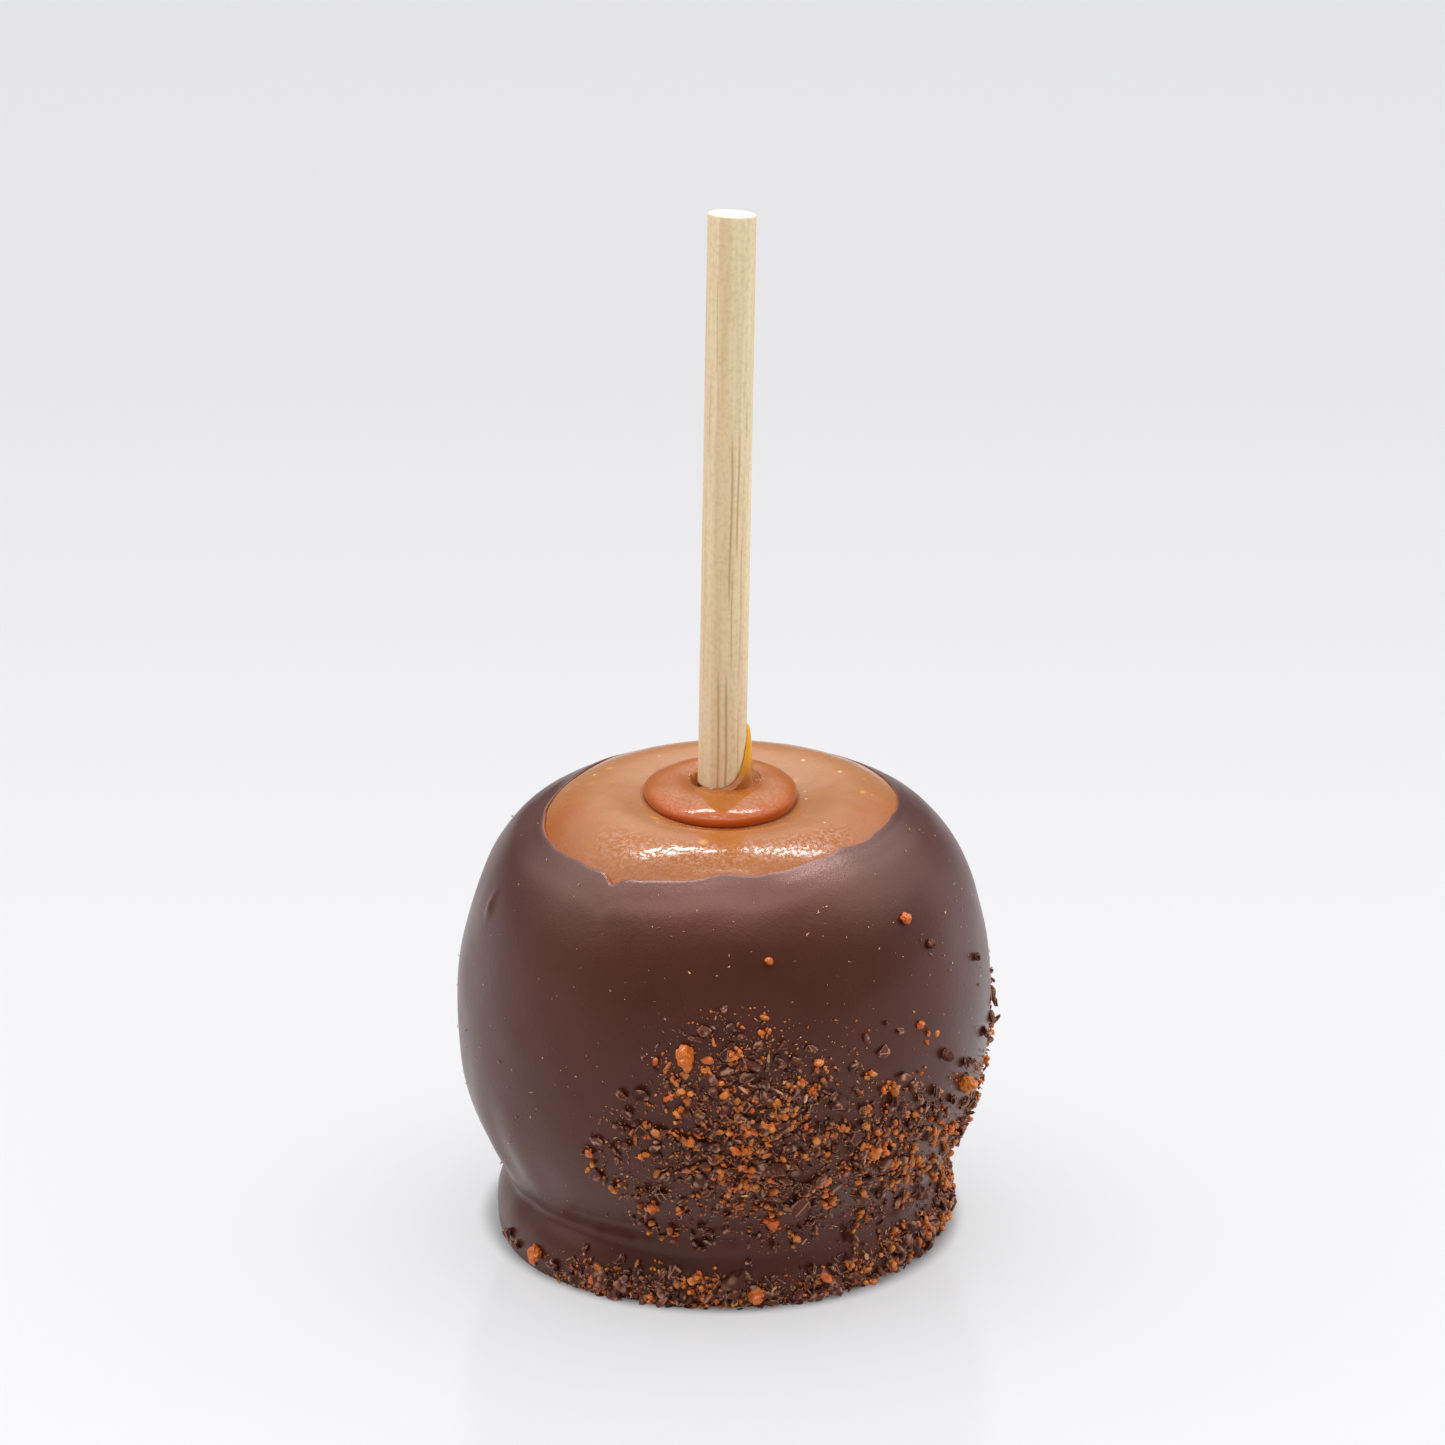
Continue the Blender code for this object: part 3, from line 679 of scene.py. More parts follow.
def foot_section(azimuth):
    """The wall's lowest stretch running out into the foot, and its rounded edge on the floor."""
    slope_height = np.linspace(FOOT_BLEND_HEIGHT, FOOT_WIDEST_HEIGHT, SHELL_FOOT_RINGS)[1:]
    edge_height = FOOT_WIDEST_HEIGHT * (1 - np.sin(np.linspace(0, math.pi / 2, SHELL_EDGE_RINGS)[1:]))
    height = np.concatenate([slope_height, edge_height])[None, :]
    wall = inset(np.linspace(math.pi / 2, math.pi * 0.9, 400), 0)[::-1]
    wall_radius = np.interp(height, wall[:, 1], wall[:, 0])
    widest = FOOT_RADIUS + waves(FOOT_WAVES, azimuth) + bites(FOOT_BITES, azimuth)
    above = np.maximum(height - FOOT_WIDEST_HEIGHT, 0) / (GROOVE_HEIGHT - FOOT_WIDEST_HEIGHT)
    below = np.maximum(FOOT_WIDEST_HEIGHT - height, 0) / FOOT_WIDEST_HEIGHT
    foot_radius = widest - FOOT_SLOPE * above ** 2 - FOOT_TUCK * (1 - np.sqrt(1 - below ** 2))
    softness = CREASE_SOFTNESS + waves(CREASE_WAVES, azimuth) + bites(CREASE_FILLED, azimuth)
    radius = smooth_max(wall_radius, foot_radius, softness)
    return np.stack([radius, np.broadcast_to(height, radius.shape)], axis=-1)


def shell_sections(azimuth):
    """Half sections of the chocolate shell: the inside from its floor up to the rim, the rounded
    lip, the outside down to the floor. The inside lies just off the caramel. Also gives each
    ring's distance below the rim, and the first ring of the outside."""
    rim = rim_angle(azimuth)
    low = angle_at_height(CARAMEL_FLOOR + CARAMEL_CORNER)
    inner_angles = spaced(np.full_like(rim, low), rim + LIP_REACH, SHELL_INNER_RINGS)
    inner = inset(inner_angles, coat_depth(inner_angles) - SOLIDS_GAP)
    corner = inner[:, :1] - CARAMEL_CORNER
    corner[..., 1] = COAT_FLOOR
    turn = np.radians(np.linspace(-75, 75, SHELL_LIP_RINGS))
    inside = coat_depth(rim) - SOLIDS_GAP
    outside = skin_depth(rim) + RIM_THINNING
    lip_depth = (inside + outside) / 2 - (inside - outside) / 2 * np.sin(turn)
    lip = inset(rim - LIP_REACH * np.cos(turn), lip_depth)
    wall_end = np.full_like(rim, angle_at_height(FOOT_BLEND_HEIGHT))
    wall_angles = spaced(rim + LIP_REACH, wall_end, SHELL_WALL_RINGS)
    wall_below = length_at(wall_angles) - length_at(rim)
    thinned = RIM_THINNING * (1 - smooth_step(wall_below, 0, RIM_THICKENED))
    wall = inset(wall_angles, skin_depth(wall_angles) + thinned)
    floor_pole = with_pole(corner, COAT_FLOOR)[:, ::-1]
    section = np.concatenate([floor_pole, inner, lip, wall, foot_section(azimuth)], axis=1)
    start = 2 + SHELL_INNER_RINGS + SHELL_LIP_RINGS
    below_rim = np.ones((SHELL_STEPS, section.shape[1] + 1))
    below_rim[:, start:start + SHELL_WALL_RINGS] = wall_below
    return with_pole(section, 0), below_rim, start


def shell_relief(azimuth, points, below_rim):
    """Height of the chocolate's unevenness: slow lumps, ridges that follow the rim, drawn folds
    on the lower left, and a nick on the far left."""
    height = points[..., 2]
    lumps = 0.00012 * ripple(points, 0.022, 5) + 0.00004 * ripple(points, 0.008, 6)
    wander = 0.0006 * ripple(points, 0.012, 7)
    ridges = sum(size * bell(below_rim + wander, place, width) for place, width, size in RIM_RIDGES)
    folds = 0.00020 * np.cos(np.radians(22 * azimuth) + 50 * height)
    folds = folds * bell(turned(azimuth + 62), 0, 16) * bell(height, 0.016, 0.008)
    nick = 0.0004 * bell(turned(azimuth + 72), 0, 1.6) * bell(height, 0.0535, 0.0016)
    return lumps + ridges + folds + nick


def make_shell():
    """The chocolate shell, with a rough bed under its crumbs. Also gives the outer wall's grid
    of points, azimuths and directions out of it, for the crumbs."""
    azimuth = round_steps(SHELL_STEPS)
    section, below_rim, start = shell_sections(azimuth)
    points = carried_round(section, azimuth, body_middle)
    outer = points[:, start:-1]
    bed = crumb_cover(turned(azimuth), outer[..., 2]) ** 1.5
    rough = 1 + 0.8 * ripple(outer, 0.0022, 8) + 0.5 * ripple(outer, 0.0010, 9)
    relief = shell_relief(azimuth, outer, below_rim[:, start:-1]) + BED_THICKNESS * bed * rough
    onset = smooth_step(np.arange(outer.shape[1]), 0, 5) * smooth_step(outer[..., 2], 0.0, 0.0025)
    outer += grid_normals(outer) * (relief * onset)[..., None]
    values = {"bed": np.zeros(points.shape[:2]), "lip": np.zeros(points.shape[:2])}
    values["bed"][:, start:-1] = bed
    # The lip's painted highlight is strongest in front.
    lit = 0.25 + 0.75 * smooth_step(np.cos(np.radians(azimuth)), -0.2, 0.6)
    values["lip"][:, start - SHELL_LIP_RINGS:start] = np.array(LIP_HIGHLIGHT_TONES) * lit
    shell = turned_piece("chocolate_shell", points, "chocolate", values)
    return shell, outer, np.broadcast_to(azimuth, outer.shape[:2]), grid_normals(outer)


# --- Caramel

CARAMEL_STEPS = 360
CROWN_RINGS = 76
COVERED_RINGS = 10
# Rings of the stick's socket before the open crown's first: its pole, its floor and its side
SOCKET_RINGS = 3
# How far past the rim the open crown ends, and how much further the covered wall starts, in radians
CROWN_RUNS_ON = 0.03
COVERED_STARTS = 0.02
# How far the caramel sinks in front of the collar, the half width of it round the stick in
# degrees, the distance of its deepest line from the collar's centre and its half width
FRONT_DIP = (0.0006, 65, 0.0120, 0.0036)


def stick_middle(height):
    """The stick's own line at this height."""
    return (STICK_ENTRY + STICK_LEAN * (height[..., None] - STICK_ENTRY[2]))[..., :2]


def caramel_middle(radius, height):
    """Middle of a caramel ring: the stick's line at its socket, the apple's axis beyond it."""
    share = smooth_step(radius, STICK_RADIUS * 1.05, STICK_RADIUS * 2.5)[..., None]
    return stick_middle(height) * (1 - share) + body_middle(radius, height) * share


def front_dip(azimuth, radius):
    """How far the caramel sinks at an azimuth and a distance from the collar's centre."""
    depth, spread, place, width = FRONT_DIP
    return depth * bell(turned(azimuth), 0, spread) * bell(radius, place, width)


def make_caramel():
    """The caramel with the apple inside it: a socket for the stick, the open crown, the wall
    under the chocolate and a flat floor."""
    azimuth = round_steps(CARAMEL_STEPS)
    whole = np.ones_like(azimuth)
    socket = STICK_RADIUS + SEAM_GAP
    bottom = STICK_ENTRY[2] - STICK_INSERTED
    rim = rim_angle(azimuth) + CROWN_RUNS_ON
    crown_angles = spaced(angle_at_radius(socket) * whole, rim, CROWN_RINGS)
    crown = inset(crown_angles, coat_depth(crown_angles) - (SOLIDS_GAP - SEAM_GAP))
    low = angle_at_height(CARAMEL_FLOOR + CARAMEL_CORNER)
    covered_angles = spaced(rim + COVERED_STARTS, low * whole, COVERED_RINGS)
    covered = inset(covered_angles, coat_depth(covered_angles))
    corner = covered[:, -1:] - CARAMEL_CORNER / 2
    corner[..., 1] = CARAMEL_FLOOR
    ring = np.stack([socket * whole, bottom * whole], axis=-1)
    wall = np.stack([socket * whole, crown[:, :1, 1] - 0.004], axis=-1)
    section = np.concatenate([ring, wall, crown, covered, corner], axis=1)
    section = with_pole(with_pole(section[:, ::-1], bottom)[:, ::-1], CARAMEL_FLOOR)
    points = carried_round(section, azimuth, caramel_middle)
    opened = points[:, SOCKET_RINGS:SOCKET_RINGS + CROWN_RINGS]
    relief = 0.00006 * ripple(opened, 0.012, 21) + 0.00002 * ripple(opened, 0.0040, 22)
    away = smooth_step(np.arange(CROWN_RINGS), 4, 16) * (1 - smooth_step(np.arange(CROWN_RINGS), 62, 75))
    opened += grid_normals(opened) * (relief * away)[..., None]
    from_collar = opened[..., :2] - COLLAR_CENTRE
    around_collar = np.degrees(np.arctan2(from_collar[..., 0], -from_collar[..., 1]))
    opened[..., 2] -= front_dip(around_collar, np.linalg.norm(from_collar, axis=-1))
    from_axis = np.linalg.norm(points[..., :2], axis=-1)
    # The pale mask is a painted hazy reflection of the bright surroundings: full near the collar and towards
    # the back, left off in front beyond the collar and weaker by the rim on the front half.
    facing = smooth_step(np.cos(np.radians(azimuth)), -0.4, 0.3)
    pale = 1 - bell(turned(azimuth), 0, 26) * smooth_step(from_axis, 0.008, 0.013)
    pale = pale * (1 - 0.9 * smooth_step(from_axis, 0.0170, 0.0220) * facing)
    lit = smooth_step(from_axis, 0.0190, 0.0220) * (1 - smooth_step(np.abs(turned(azimuth)), 40, 60))
    lit = lit * (1 - 0.7 * smooth_step(from_axis, 0.0240, 0.0256))
    return turned_piece("caramel_crown", points, "caramel", {"pale": pale, "lit": lit})


# --- Collar

COLLAR_STEPS = 288
FILM_RINGS = 36
BEAD_RINGS = 55
WALL_RINGS = 6
WALL_TUCK = 0.00012
FLANGE_RINGS = 5
FLANGE_WIDTH = 0.0004
FLANGE_THICKNESS = 0.00005
COLLAR_WAVES = ((1, -80, 0.0002), (2, 60, 0.00012), (3, 10, 0.00010), (7, 0, 0.00004))
COLLAR_BULGE = ((-4, 50, 0.0015),)
DOME_POWERS = (3.0, 0.5)
# How much lower the collar's edge lies in front than at its middle, as the stick leans back
COLLAR_TILT = 0.0003
TONGUE_FRONT_SPREAD = 57
TONGUE_FOOT_FLARE = 0.0011
# The gap that the collar leaves on the stick's left: azimuth, half width round, depth, half width
HOLLOW = (-98, 36, 0.0016, 0.0009)
# Bubbles in the collar: (azimuth, distance past the stick's side, radius)
BUBBLES = ((-92, 0.0010, 0.00030), (-106, 0.0012, 0.00026), (78, 0.0019, 0.00034), (88, 0.0014, 0.00028),
           (70, 0.0014, 0.00026), (84, 0.0024, 0.00022))


def bead_share(share):
    """The collar's height over its seat, of its rise, at a share of its radius: a low dome with
    a round edge, dipping to the stick."""
    dip = COLLAR_DIP * bell(share, STICK_RADIUS / COLLAR_RADIUS, COLLAR_DIP_WIDTH)
    return np.maximum(1 - share ** DOME_POWERS[0], 0) ** DOME_POWERS[1] * (1 - dip)


def collar_middle(radius, height):
    """Middle of the collar: the stick's own line at the stick, the collar's centre at its edge."""
    share = (np.minimum(radius / COLLAR_RADIUS, 1) ** 2)[..., None]
    return stick_middle(height) * (1 - share) + COLLAR_CENTRE * share


def crown_height(radius):
    """Height of the open caramel at this radius."""
    angle = angle_at_radius(radius)
    return inset(angle, coat_depth(angle) - (SOLIDS_GAP - SEAM_GAP))[..., 1]


def crown_under(radius, azimuth):
    """Points of the open caramel, as radius and height, at radii and azimuths about the collar's
    centre."""
    turn = np.radians(azimuth)
    x = COLLAR_CENTRE[0] + radius * np.sin(turn) - BODY_LEAN * (STICK_ENTRY[2] - LEAN_FROM_HEIGHT)
    y = COLLAR_CENTRE[1] - radius * np.cos(turn)
    return np.stack([radius, crown_height(np.hypot(x, y)) - front_dip(azimuth, radius)], axis=-1)


def bead_lumps(azimuth, radius):
    """What stands up from the bead: bubbles as caps of balls, less the gap beside the stick."""
    place, spread, depth, width = HOLLOW
    past_stick = radius - STICK_RADIUS
    lumps = -depth * np.exp(-(turned(azimuth - place) / spread) ** 4 - (past_stick / width) ** 4)
    for place, distance, size in BUBBLES:
        across = np.radians(turned(azimuth - place)) * (STICK_RADIUS + distance)
        away = across ** 2 + (past_stick - distance) ** 2
        lumps = lumps + np.sqrt(np.maximum(size ** 2 - away, 0))
    return lumps


def make_collar():
    """The collar: a closed ring section made of the film up the stick, the bead and its foot,
    the skirt that runs out onto the caramel, its underside, and the way back up along the
    stick."""
    azimuth = round_steps(COLLAR_STEPS)
    edge_radius = COLLAR_RADIUS - 0.0002 + waves(COLLAR_WAVES, azimuth) + bites(COLLAR_BULGE, azimuth)
    ahead = turned(azimuth - TONGUE_AZIMUTH)
    climb = TONGUE_HEIGHT * bell(ahead, 0, np.where(ahead < 0, TONGUE_FRONT_SPREAD, TONGUE_SPREAD))
    flat_seat = crown_height(COLLAR_RADIUS) + COLLAR_EDGE + SOLIDS_GAP
    tilt = -COLLAR_TILT * np.cos(np.radians(azimuth))

    def dome(share):
        """Height of the tilted dome at a share of the collar's radius."""
        return flat_seat + tilt * share + COLLAR_RISE * bead_share(share)

    socket = STICK_RADIUS + SEAM_GAP
    rise = np.linspace(1, 0, FILM_RINGS)[None, :]
    above = climb * rise
    thick = TONGUE_THICKNESS * np.minimum(1, np.sqrt(1 - rise ** 6)) * smooth_step(climb - above, 0, 0.0008)
    flare = TONGUE_FOOT_FLARE * np.exp(-above / 0.0014) * smooth_step(climb, 0.0004, 0.004)
    film_radius = socket + thick + flare
    film_height = dome(STICK_RADIUS / COLLAR_RADIUS) + above + bead_lumps(azimuth, film_radius) * (1 - rise)
    film = np.stack([film_radius, film_height], axis=-1)

    foot = np.arcsin(film_radius[:, -1:] / edge_radius)
    share = np.sin(foot + (math.pi / 2 - foot) * np.linspace(0, 1, BEAD_RINGS + 1)[None, 1:])
    bead_radius = edge_radius * share
    bead = np.stack([bead_radius, dome(share) + bead_lumps(azimuth, bead_radius)], axis=-1)

    down = np.linspace(0, 1, WALL_RINGS + 1)[None, 1:]
    seat = flat_seat + tilt
    wall_height = seat + (crown_under(edge_radius, azimuth)[..., 1] + 2 * FLANGE_THICKNESS - seat) * down
    wall = np.stack([edge_radius - WALL_TUCK * down ** 2, wall_height], axis=-1)
    out = np.linspace(0, 1, FLANGE_RINGS + 1)[None, 1:]
    flange = crown_under(edge_radius - WALL_TUCK + (FLANGE_WIDTH + WALL_TUCK) * out, azimuth)
    seating = crown_under(socket + (flange[:, -1:, 0] - socket) * np.linspace(1, 0, 8)[None, :], azimuth)
    flange[..., 1] += FLANGE_THICKNESS * (2 - out)
    last = seating[:, -1:]
    up = film[:, :1, 1] - last[..., 1]
    back = last + np.stack([0 * up, up], axis=-1) * np.linspace(0, 1, 20)[1:-1, None]

    section = np.concatenate([film, bead, wall, flange, seating, back], axis=1)
    points = carried_round(section, azimuth, collar_middle)
    bead_end = FILM_RINGS + BEAD_RINGS
    bead_part = points[:, FILM_RINGS:bead_end]
    bead_part += grid_normals(bead_part) * (0.00006 * ripple(bead_part, 0.006, 31))[..., None]
    values = {name: np.zeros(points.shape[:2]) for name in ("edge", "film", "crease_shade")}
    # The edge's deeper colour, partly painted shade, is strongest in front.
    facing = 0.2 + 0.8 * smooth_step(np.cos(np.radians(azimuth)), 0.0, 0.9)
    wall_end = bead_end + WALL_RINGS
    values["edge"][:, FILM_RINGS:bead_end] = smooth_step(share, 0.80, 0.99) * facing
    values["edge"][:, bead_end:wall_end] = facing
    values["edge"][:, wall_end:wall_end + FLANGE_RINGS] = 0.5 * facing
    # A painted shade line where the collar's foot meets the caramel.
    values["crease_shade"][:, wall_end - 2:wall_end + 1] = (0.5, 1, 0.7)
    values["film"][:, :FILM_RINGS] = smooth_step(above, 0.0004, 0.0050)
    faces = grid_faces(*points.shape[:2], closed=True).tolist()
    return new_piece("pooled_caramel", points, faces, "collar", True, values)


# --- Stick

STICK_STEPS = 264
STICK_SIDE_RINGS = 90
GRAIN_STRETCH = 0.03
# Brown lines in the wood: (azimuth, from and to above the caramel in mm, half width in mm, depth of tone)
GRAIN_LINES = (
    (-32, 62, 76, 0.10, 0.6), (-51, 50, 62, 0.12, 0.6), (37, 57, 61, 0.10, 0.6), (49, 52, 58, 0.10, 0.7),
    (10, 28, 53, 0.16, 0.8), (17, 18, 34, 0.10, 0.6), (27, 35, 53, 0.14, 0.8), (41, 26, 38, 0.12, 0.6),
    (39, 16, 26, 0.10, 0.5), (-12, -6, 18, 0.13, 0.9), (7, -6, 18, 0.18, 0.9), (40, 1, 12, 0.10, 0.6),
    (-35, 24, 28, 0.10, 0.4), (-59, 16, 27, 0.10, 0.3),
)
GRAIN_LINES_BEHIND = 26


def grain_lines(azimuth, along):
    """Tone of the wood's brown lines: each is a bell across the stick that fades at both ends
    and wanders a little. Those behind are drawn at random like those in front."""
    random = np.random.default_rng(51)
    behind = [(random.uniform(75, 285), start, start + random.uniform(8, 26), 0.12, random.uniform(0.3, 0.8))
              for start in random.uniform(-10, 75, GRAIN_LINES_BEHIND)]
    tone = np.zeros(np.broadcast(azimuth, along).shape)
    for place, start, end, width, depth in GRAIN_LINES + tuple(behind):
        wander = 1.5 * np.sin(along * 240 + place)
        across = np.radians(turned(azimuth - place - wander)) * STICK_RADIUS
        ends = smooth_step(along, start / 1000 - 0.002, start / 1000 + 0.002)
        ends = ends * (1 - smooth_step(along, end / 1000 - 0.004, end / 1000 + 0.001))
        tone = np.maximum(tone, depth * bell(across, 0, width / 1000) * ends)
    return tone


def make_stick():
    """The wooden stick: its top end, a rounded edge, its side with shallow grain, and the same
    at its bottom end, about its own line."""
    angle = np.radians(round_steps(STICK_STEPS))
    top = STICK_LENGTH - STICK_INSERTED
    bottom = -STICK_INSERTED
    turn = np.radians(np.linspace(0, 90, 6))
    flat = np.linspace(0, STICK_RADIUS - STICK_EDGE_ROUND, 7)[:-1]
    edge = STICK_RADIUS - STICK_EDGE_ROUND * (1 - np.sin(turn))
    drop = STICK_EDGE_ROUND * (1 - np.cos(turn))
    side = np.linspace(top - STICK_EDGE_ROUND, bottom + STICK_EDGE_ROUND, STICK_SIDE_RINGS)[1:-1]
    radius = np.concatenate([flat, edge, np.full(side.size, STICK_RADIUS), edge[::-1], flat[::-1]])[None, :]
    along = np.concatenate([np.full(flat.size, top), top - drop, side, bottom + drop[::-1],
                            np.full(flat.size, bottom)])
    on_side = radius > STICK_RADIUS * 0.98
    grooves = 0.00003 * np.cos(9 * angle + 1) * np.cos(4 * angle) + 0.00002 * np.cos(23 * angle)
    wide = radius + grooves * on_side
    local = np.stack([wide * np.sin(angle), -wide * np.cos(angle),
                      np.broadcast_to(along, wide.shape)], axis=-1)
    local[..., 2] -= np.where(along > top - STICK_RADIUS, local[..., 0] * math.tan(STICK_END_CUT), 0)
    up = unit(STICK_LEAN)
    across = unit(np.cross((0.0, 1.0, 0.0), up))
    points = STICK_ENTRY + local @ np.stack([across, np.cross(up, across), up])
    values = {"grain": local * np.array([1, 1, GRAIN_STRETCH]),
              "line": grain_lines(np.degrees(angle), along[None, :]) * on_side,
              "sawn": np.broadcast_to(np.where(on_side, 0, 0.7), wide.shape)}
    return turned_piece("wooden_stick", points, "wood", values)


# --- Crumbs

def ball_grid(columns, rings):
    """Directions over a ball from pole to pole, every other ring turned half a step, and its
    triangles."""
    polar = math.pi * np.arange(1, rings + 1)[:, None] / (rings + 1)
    turn = 2 * math.pi * (np.arange(columns)[None, :] + 0.5 * (np.arange(rings)[:, None] % 2)) / columns
    grid = np.stack([np.sin(polar) * np.cos(turn), np.sin(polar) * np.sin(turn),
                     np.cos(polar) * np.ones_like(turn)], axis=-1)
    directions = np.concatenate([[(0, 0, 1)], grid.reshape(-1, 3), [(0, 0, -1)]])
    column = np.arange(columns)[None, :]
    ring = np.arange(rings - 1)[:, None]
    here = 1 + ring * columns + column
    after = 1 + ring * columns + (column + 1) % columns
    under, under_after = here + columns, after + columns
    shifted = np.broadcast_to(ring % 2 == 1, here.shape)
    first = np.stack([here, under, np.where(shifted, under_after, after)], axis=-1)
    second = np.stack([after, np.where(shifted, here, under), under_after], axis=-1)
    start = 1 + column[0]
    next_one = np.roll(start, -1)
    last = (rings - 1) * columns
    top = np.stack([0 * start, start, next_one], axis=-1)
    bottom = np.stack([last + start, np.full(columns, len(directions) - 1), last + next_one], axis=-1)
    return directions, np.concatenate([top, first.reshape(-1, 3), second.reshape(-1, 3), bottom])


def even_ball(subdivisions):
    """Directions over a ball with even triangles."""
    ball = bmesh.new()
    bmesh.ops.create_icosphere(ball, subdivisions=subdivisions, radius=1)
    directions = np.array([vertex.co[:] for vertex in ball.verts])
    faces = np.array([[vertex.index for vertex in face.verts] for face in ball.faces])
    ball.free()
    return directions, faces


def shard_radii(random, directions, count):
    """Radii of angular bits: random planes cut each one, so a direction's radius is that of the
    nearest plane along it. Also gives how near to a corner each direction is."""
    planes = unit(random.normal(size=(count, 9, 3)))
    distance = random.uniform(0.5, 0.95, (count, 9, 1))
    facing = np.maximum(planes @ directions.T, 0.1)
    reach = np.sort(distance / facing, axis=1)
    return np.minimum(reach[:, 0], 1.3), 1 - smooth_step(reach[:, 1] / reach[:, 0], 1.0, 1.2)


def lumpy(radii):
    """The radii of a lumpy bit, and how far each direction stands out of it, 0 to 1."""
    return radii, smooth_step(radii / radii.mean(axis=1, keepdims=True), 1.08, 1.45)


def nugget_radii(random, directions, count):
    """Radii of lumpy bits: the furthest of four balls that all hold the middle."""
    centres = random.normal(size=(count, 4, 3)) * 0.32
    size = np.linalg.norm(centres, axis=-1, keepdims=True) + random.uniform(0.12, 0.42, (count, 4, 1))
    size = np.minimum(size, 0.95)
    along = centres @ directions.T
    inside = np.maximum(size ** 2 - (centres ** 2).sum(axis=-1, keepdims=True), 0.01)
    return lumpy((along + np.sqrt(along ** 2 + inside)).max(axis=1))


def boulder_radii(random, directions, count):
    """Radii of compact bits: a ball pushed out towards five random sides."""
    sides = unit(random.normal(size=(count, 5, 3)))
    pushed = np.maximum(sides @ directions.T, 0) ** 3 * random.uniform(0.05, 0.35, (count, 5, 1))
    return lumpy(0.8 + pushed.max(axis=1))


def make_crumbs(name, finish, grid, radii_of, spots, sizes, random, stretch=(1, 1, 1), spread=0.15,
                tilt=0.5, lift=(0.05, 0.3), tones=(0, 1), rough=0, smooth=False):
    """Joined crumbs of one kind. Each is a ball grid with its own radii, stretched, turned so
    that its short way points out of the chocolate give or take a tilt, and set on its place."""
    directions, faces = grid
    places, outwards = spots
    count = len(places)
    radii, corner = radii_of(random, directions, count)
    if rough:
        offsets = random.uniform(-50, 50, (count, 1, 3))
        coarse = ripple(directions + offsets, 1.1, CRUMB_SEED)
        radii = radii * (1 + rough * (coarse + 0.5 * ripple(directions + offsets, 0.5, CRUMB_SEED + 2)))
    radii = radii / radii.max(axis=1, keepdims=True)
    size = sizes[:, None] * np.array(stretch) * np.exp(random.normal(size=(count, 3)) * spread) / 2
    local = directions * radii[..., None] * size[:, None, :]
    up = unit(outwards + tilt * random.normal(size=(count, 3)))
    side = unit(np.cross(up, random.normal(size=(count, 3))))
    turn = np.stack([side, np.cross(up, side), up], axis=1)
    centres = places + outwards * (sizes * random.uniform(*lift, count))[:, None]
    points = centres[:, None] + local @ turn
    points[..., 2] = np.maximum(points[..., 2], 0.00002)
    tone = np.broadcast_to(random.uniform(*tones, (count, 1)), radii.shape)
    joined = (faces[None] + (np.arange(count) * len(directions))[:, None, None]).reshape(-1, 3).tolist()
    return new_piece(name, points, joined, finish, smooth, {"tint": tone, "corner": corner})


def scatter(random, wall, outwards, weights, count):
    """Places on the chocolate's outer wall, picked by the weight of each of its grid's cells
    times the cell's area, and the ways out of the wall there."""
    here, after = wall[:, :-1], np.roll(wall, -1, axis=0)[:, :-1]
    below = wall[:, 1:]
    area = np.linalg.norm(np.cross(after - here, below - here), axis=-1)
    chance = (weights[:, :-1] * area).ravel()
    cell = random.choice(chance.size, count, p=chance / chance.sum())
    step, ring = np.divmod(cell, here.shape[1])
    across, down = random.uniform(0, 1, (2, count, 1))
    places = here[step, ring] + across * (after - here)[step, ring] + down * (below - here)[step, ring]
    return places, outwards[step, ring]


def clustered(random, spots, how_many, reach):
    """Each place repeated a random number of times, moved about it along the surface."""
    places, outwards = spots
    repeats = random.integers(how_many[0], how_many[1] + 1, len(places))
    ways = np.repeat(outwards, repeats, axis=0)
    shifts = reach * random.normal(size=ways.shape)
    along = shifts - (shifts * ways).sum(axis=-1, keepdims=True) * ways
    return np.repeat(places, repeats, axis=0) + along, ways


def spread_sizes(random, count, low, high, power=1.6):
    """Sizes of which most are small: their spread follows a power. Low and high are in mm."""
    return low / 1000 * (high / low) ** (random.uniform(0, 1, count) ** power)


def is_clear(azimuth, height, size, places):
    """True if a crumb would stand free of those already placed."""
    for other_azimuth, other_height, other_size in places:
        across = math.radians(turned(azimuth - other_azimuth)) * CRUMBED_RADIUS
        if math.hypot(across, height - other_height) < CRUMB_SPACING * (size + other_size):
            return False
    return True


def patch_share(azimuth, height):
    """How thickly the solids' own crumbs lie on the wall, 0 to 1."""
    bells = [share * math.exp(-((azimuth - place) / width) ** 2 - ((height - level) / depth) ** 2)
             for place, level, width, depth, share in PATCH_BELLS]
    return max(bells) if max(bells) > PATCH_EDGE else 0


def solid_crumbs():
    """Azimuth, height and size of every crumb that the solids have, by the same draws."""
    random = np.random.default_rng(CRUMB_SEED)
    places = [(azimuth, height / 1000, size / 1000) for azimuth, height, size, kind in LARGE_CRUMBS]
    patch_end = len(places) + PATCH_CRUMBS
    while len(places) < patch_end + FOOT_CRUMBS:
        size = random.uniform(*CRUMB_SIZES)
        azimuth = random.uniform(-180, 180)
        if len(places) < patch_end:
            height = random.uniform(GROOVE_HEIGHT, PATCH_TOP)
            share = patch_share(azimuth, height)
        else:
            height = random.uniform(size / 2, GROOVE_HEIGHT - size / 2)
            share = FOOT_CRUMBS_ELSEWHERE + (1 - FOOT_CRUMBS_ELSEWHERE) * foot_dusted(azimuth)
        if random.uniform(0, 1) < share and is_clear(azimuth, height, size, places):
            places.append((azimuth, height, size))
    return np.array(places)


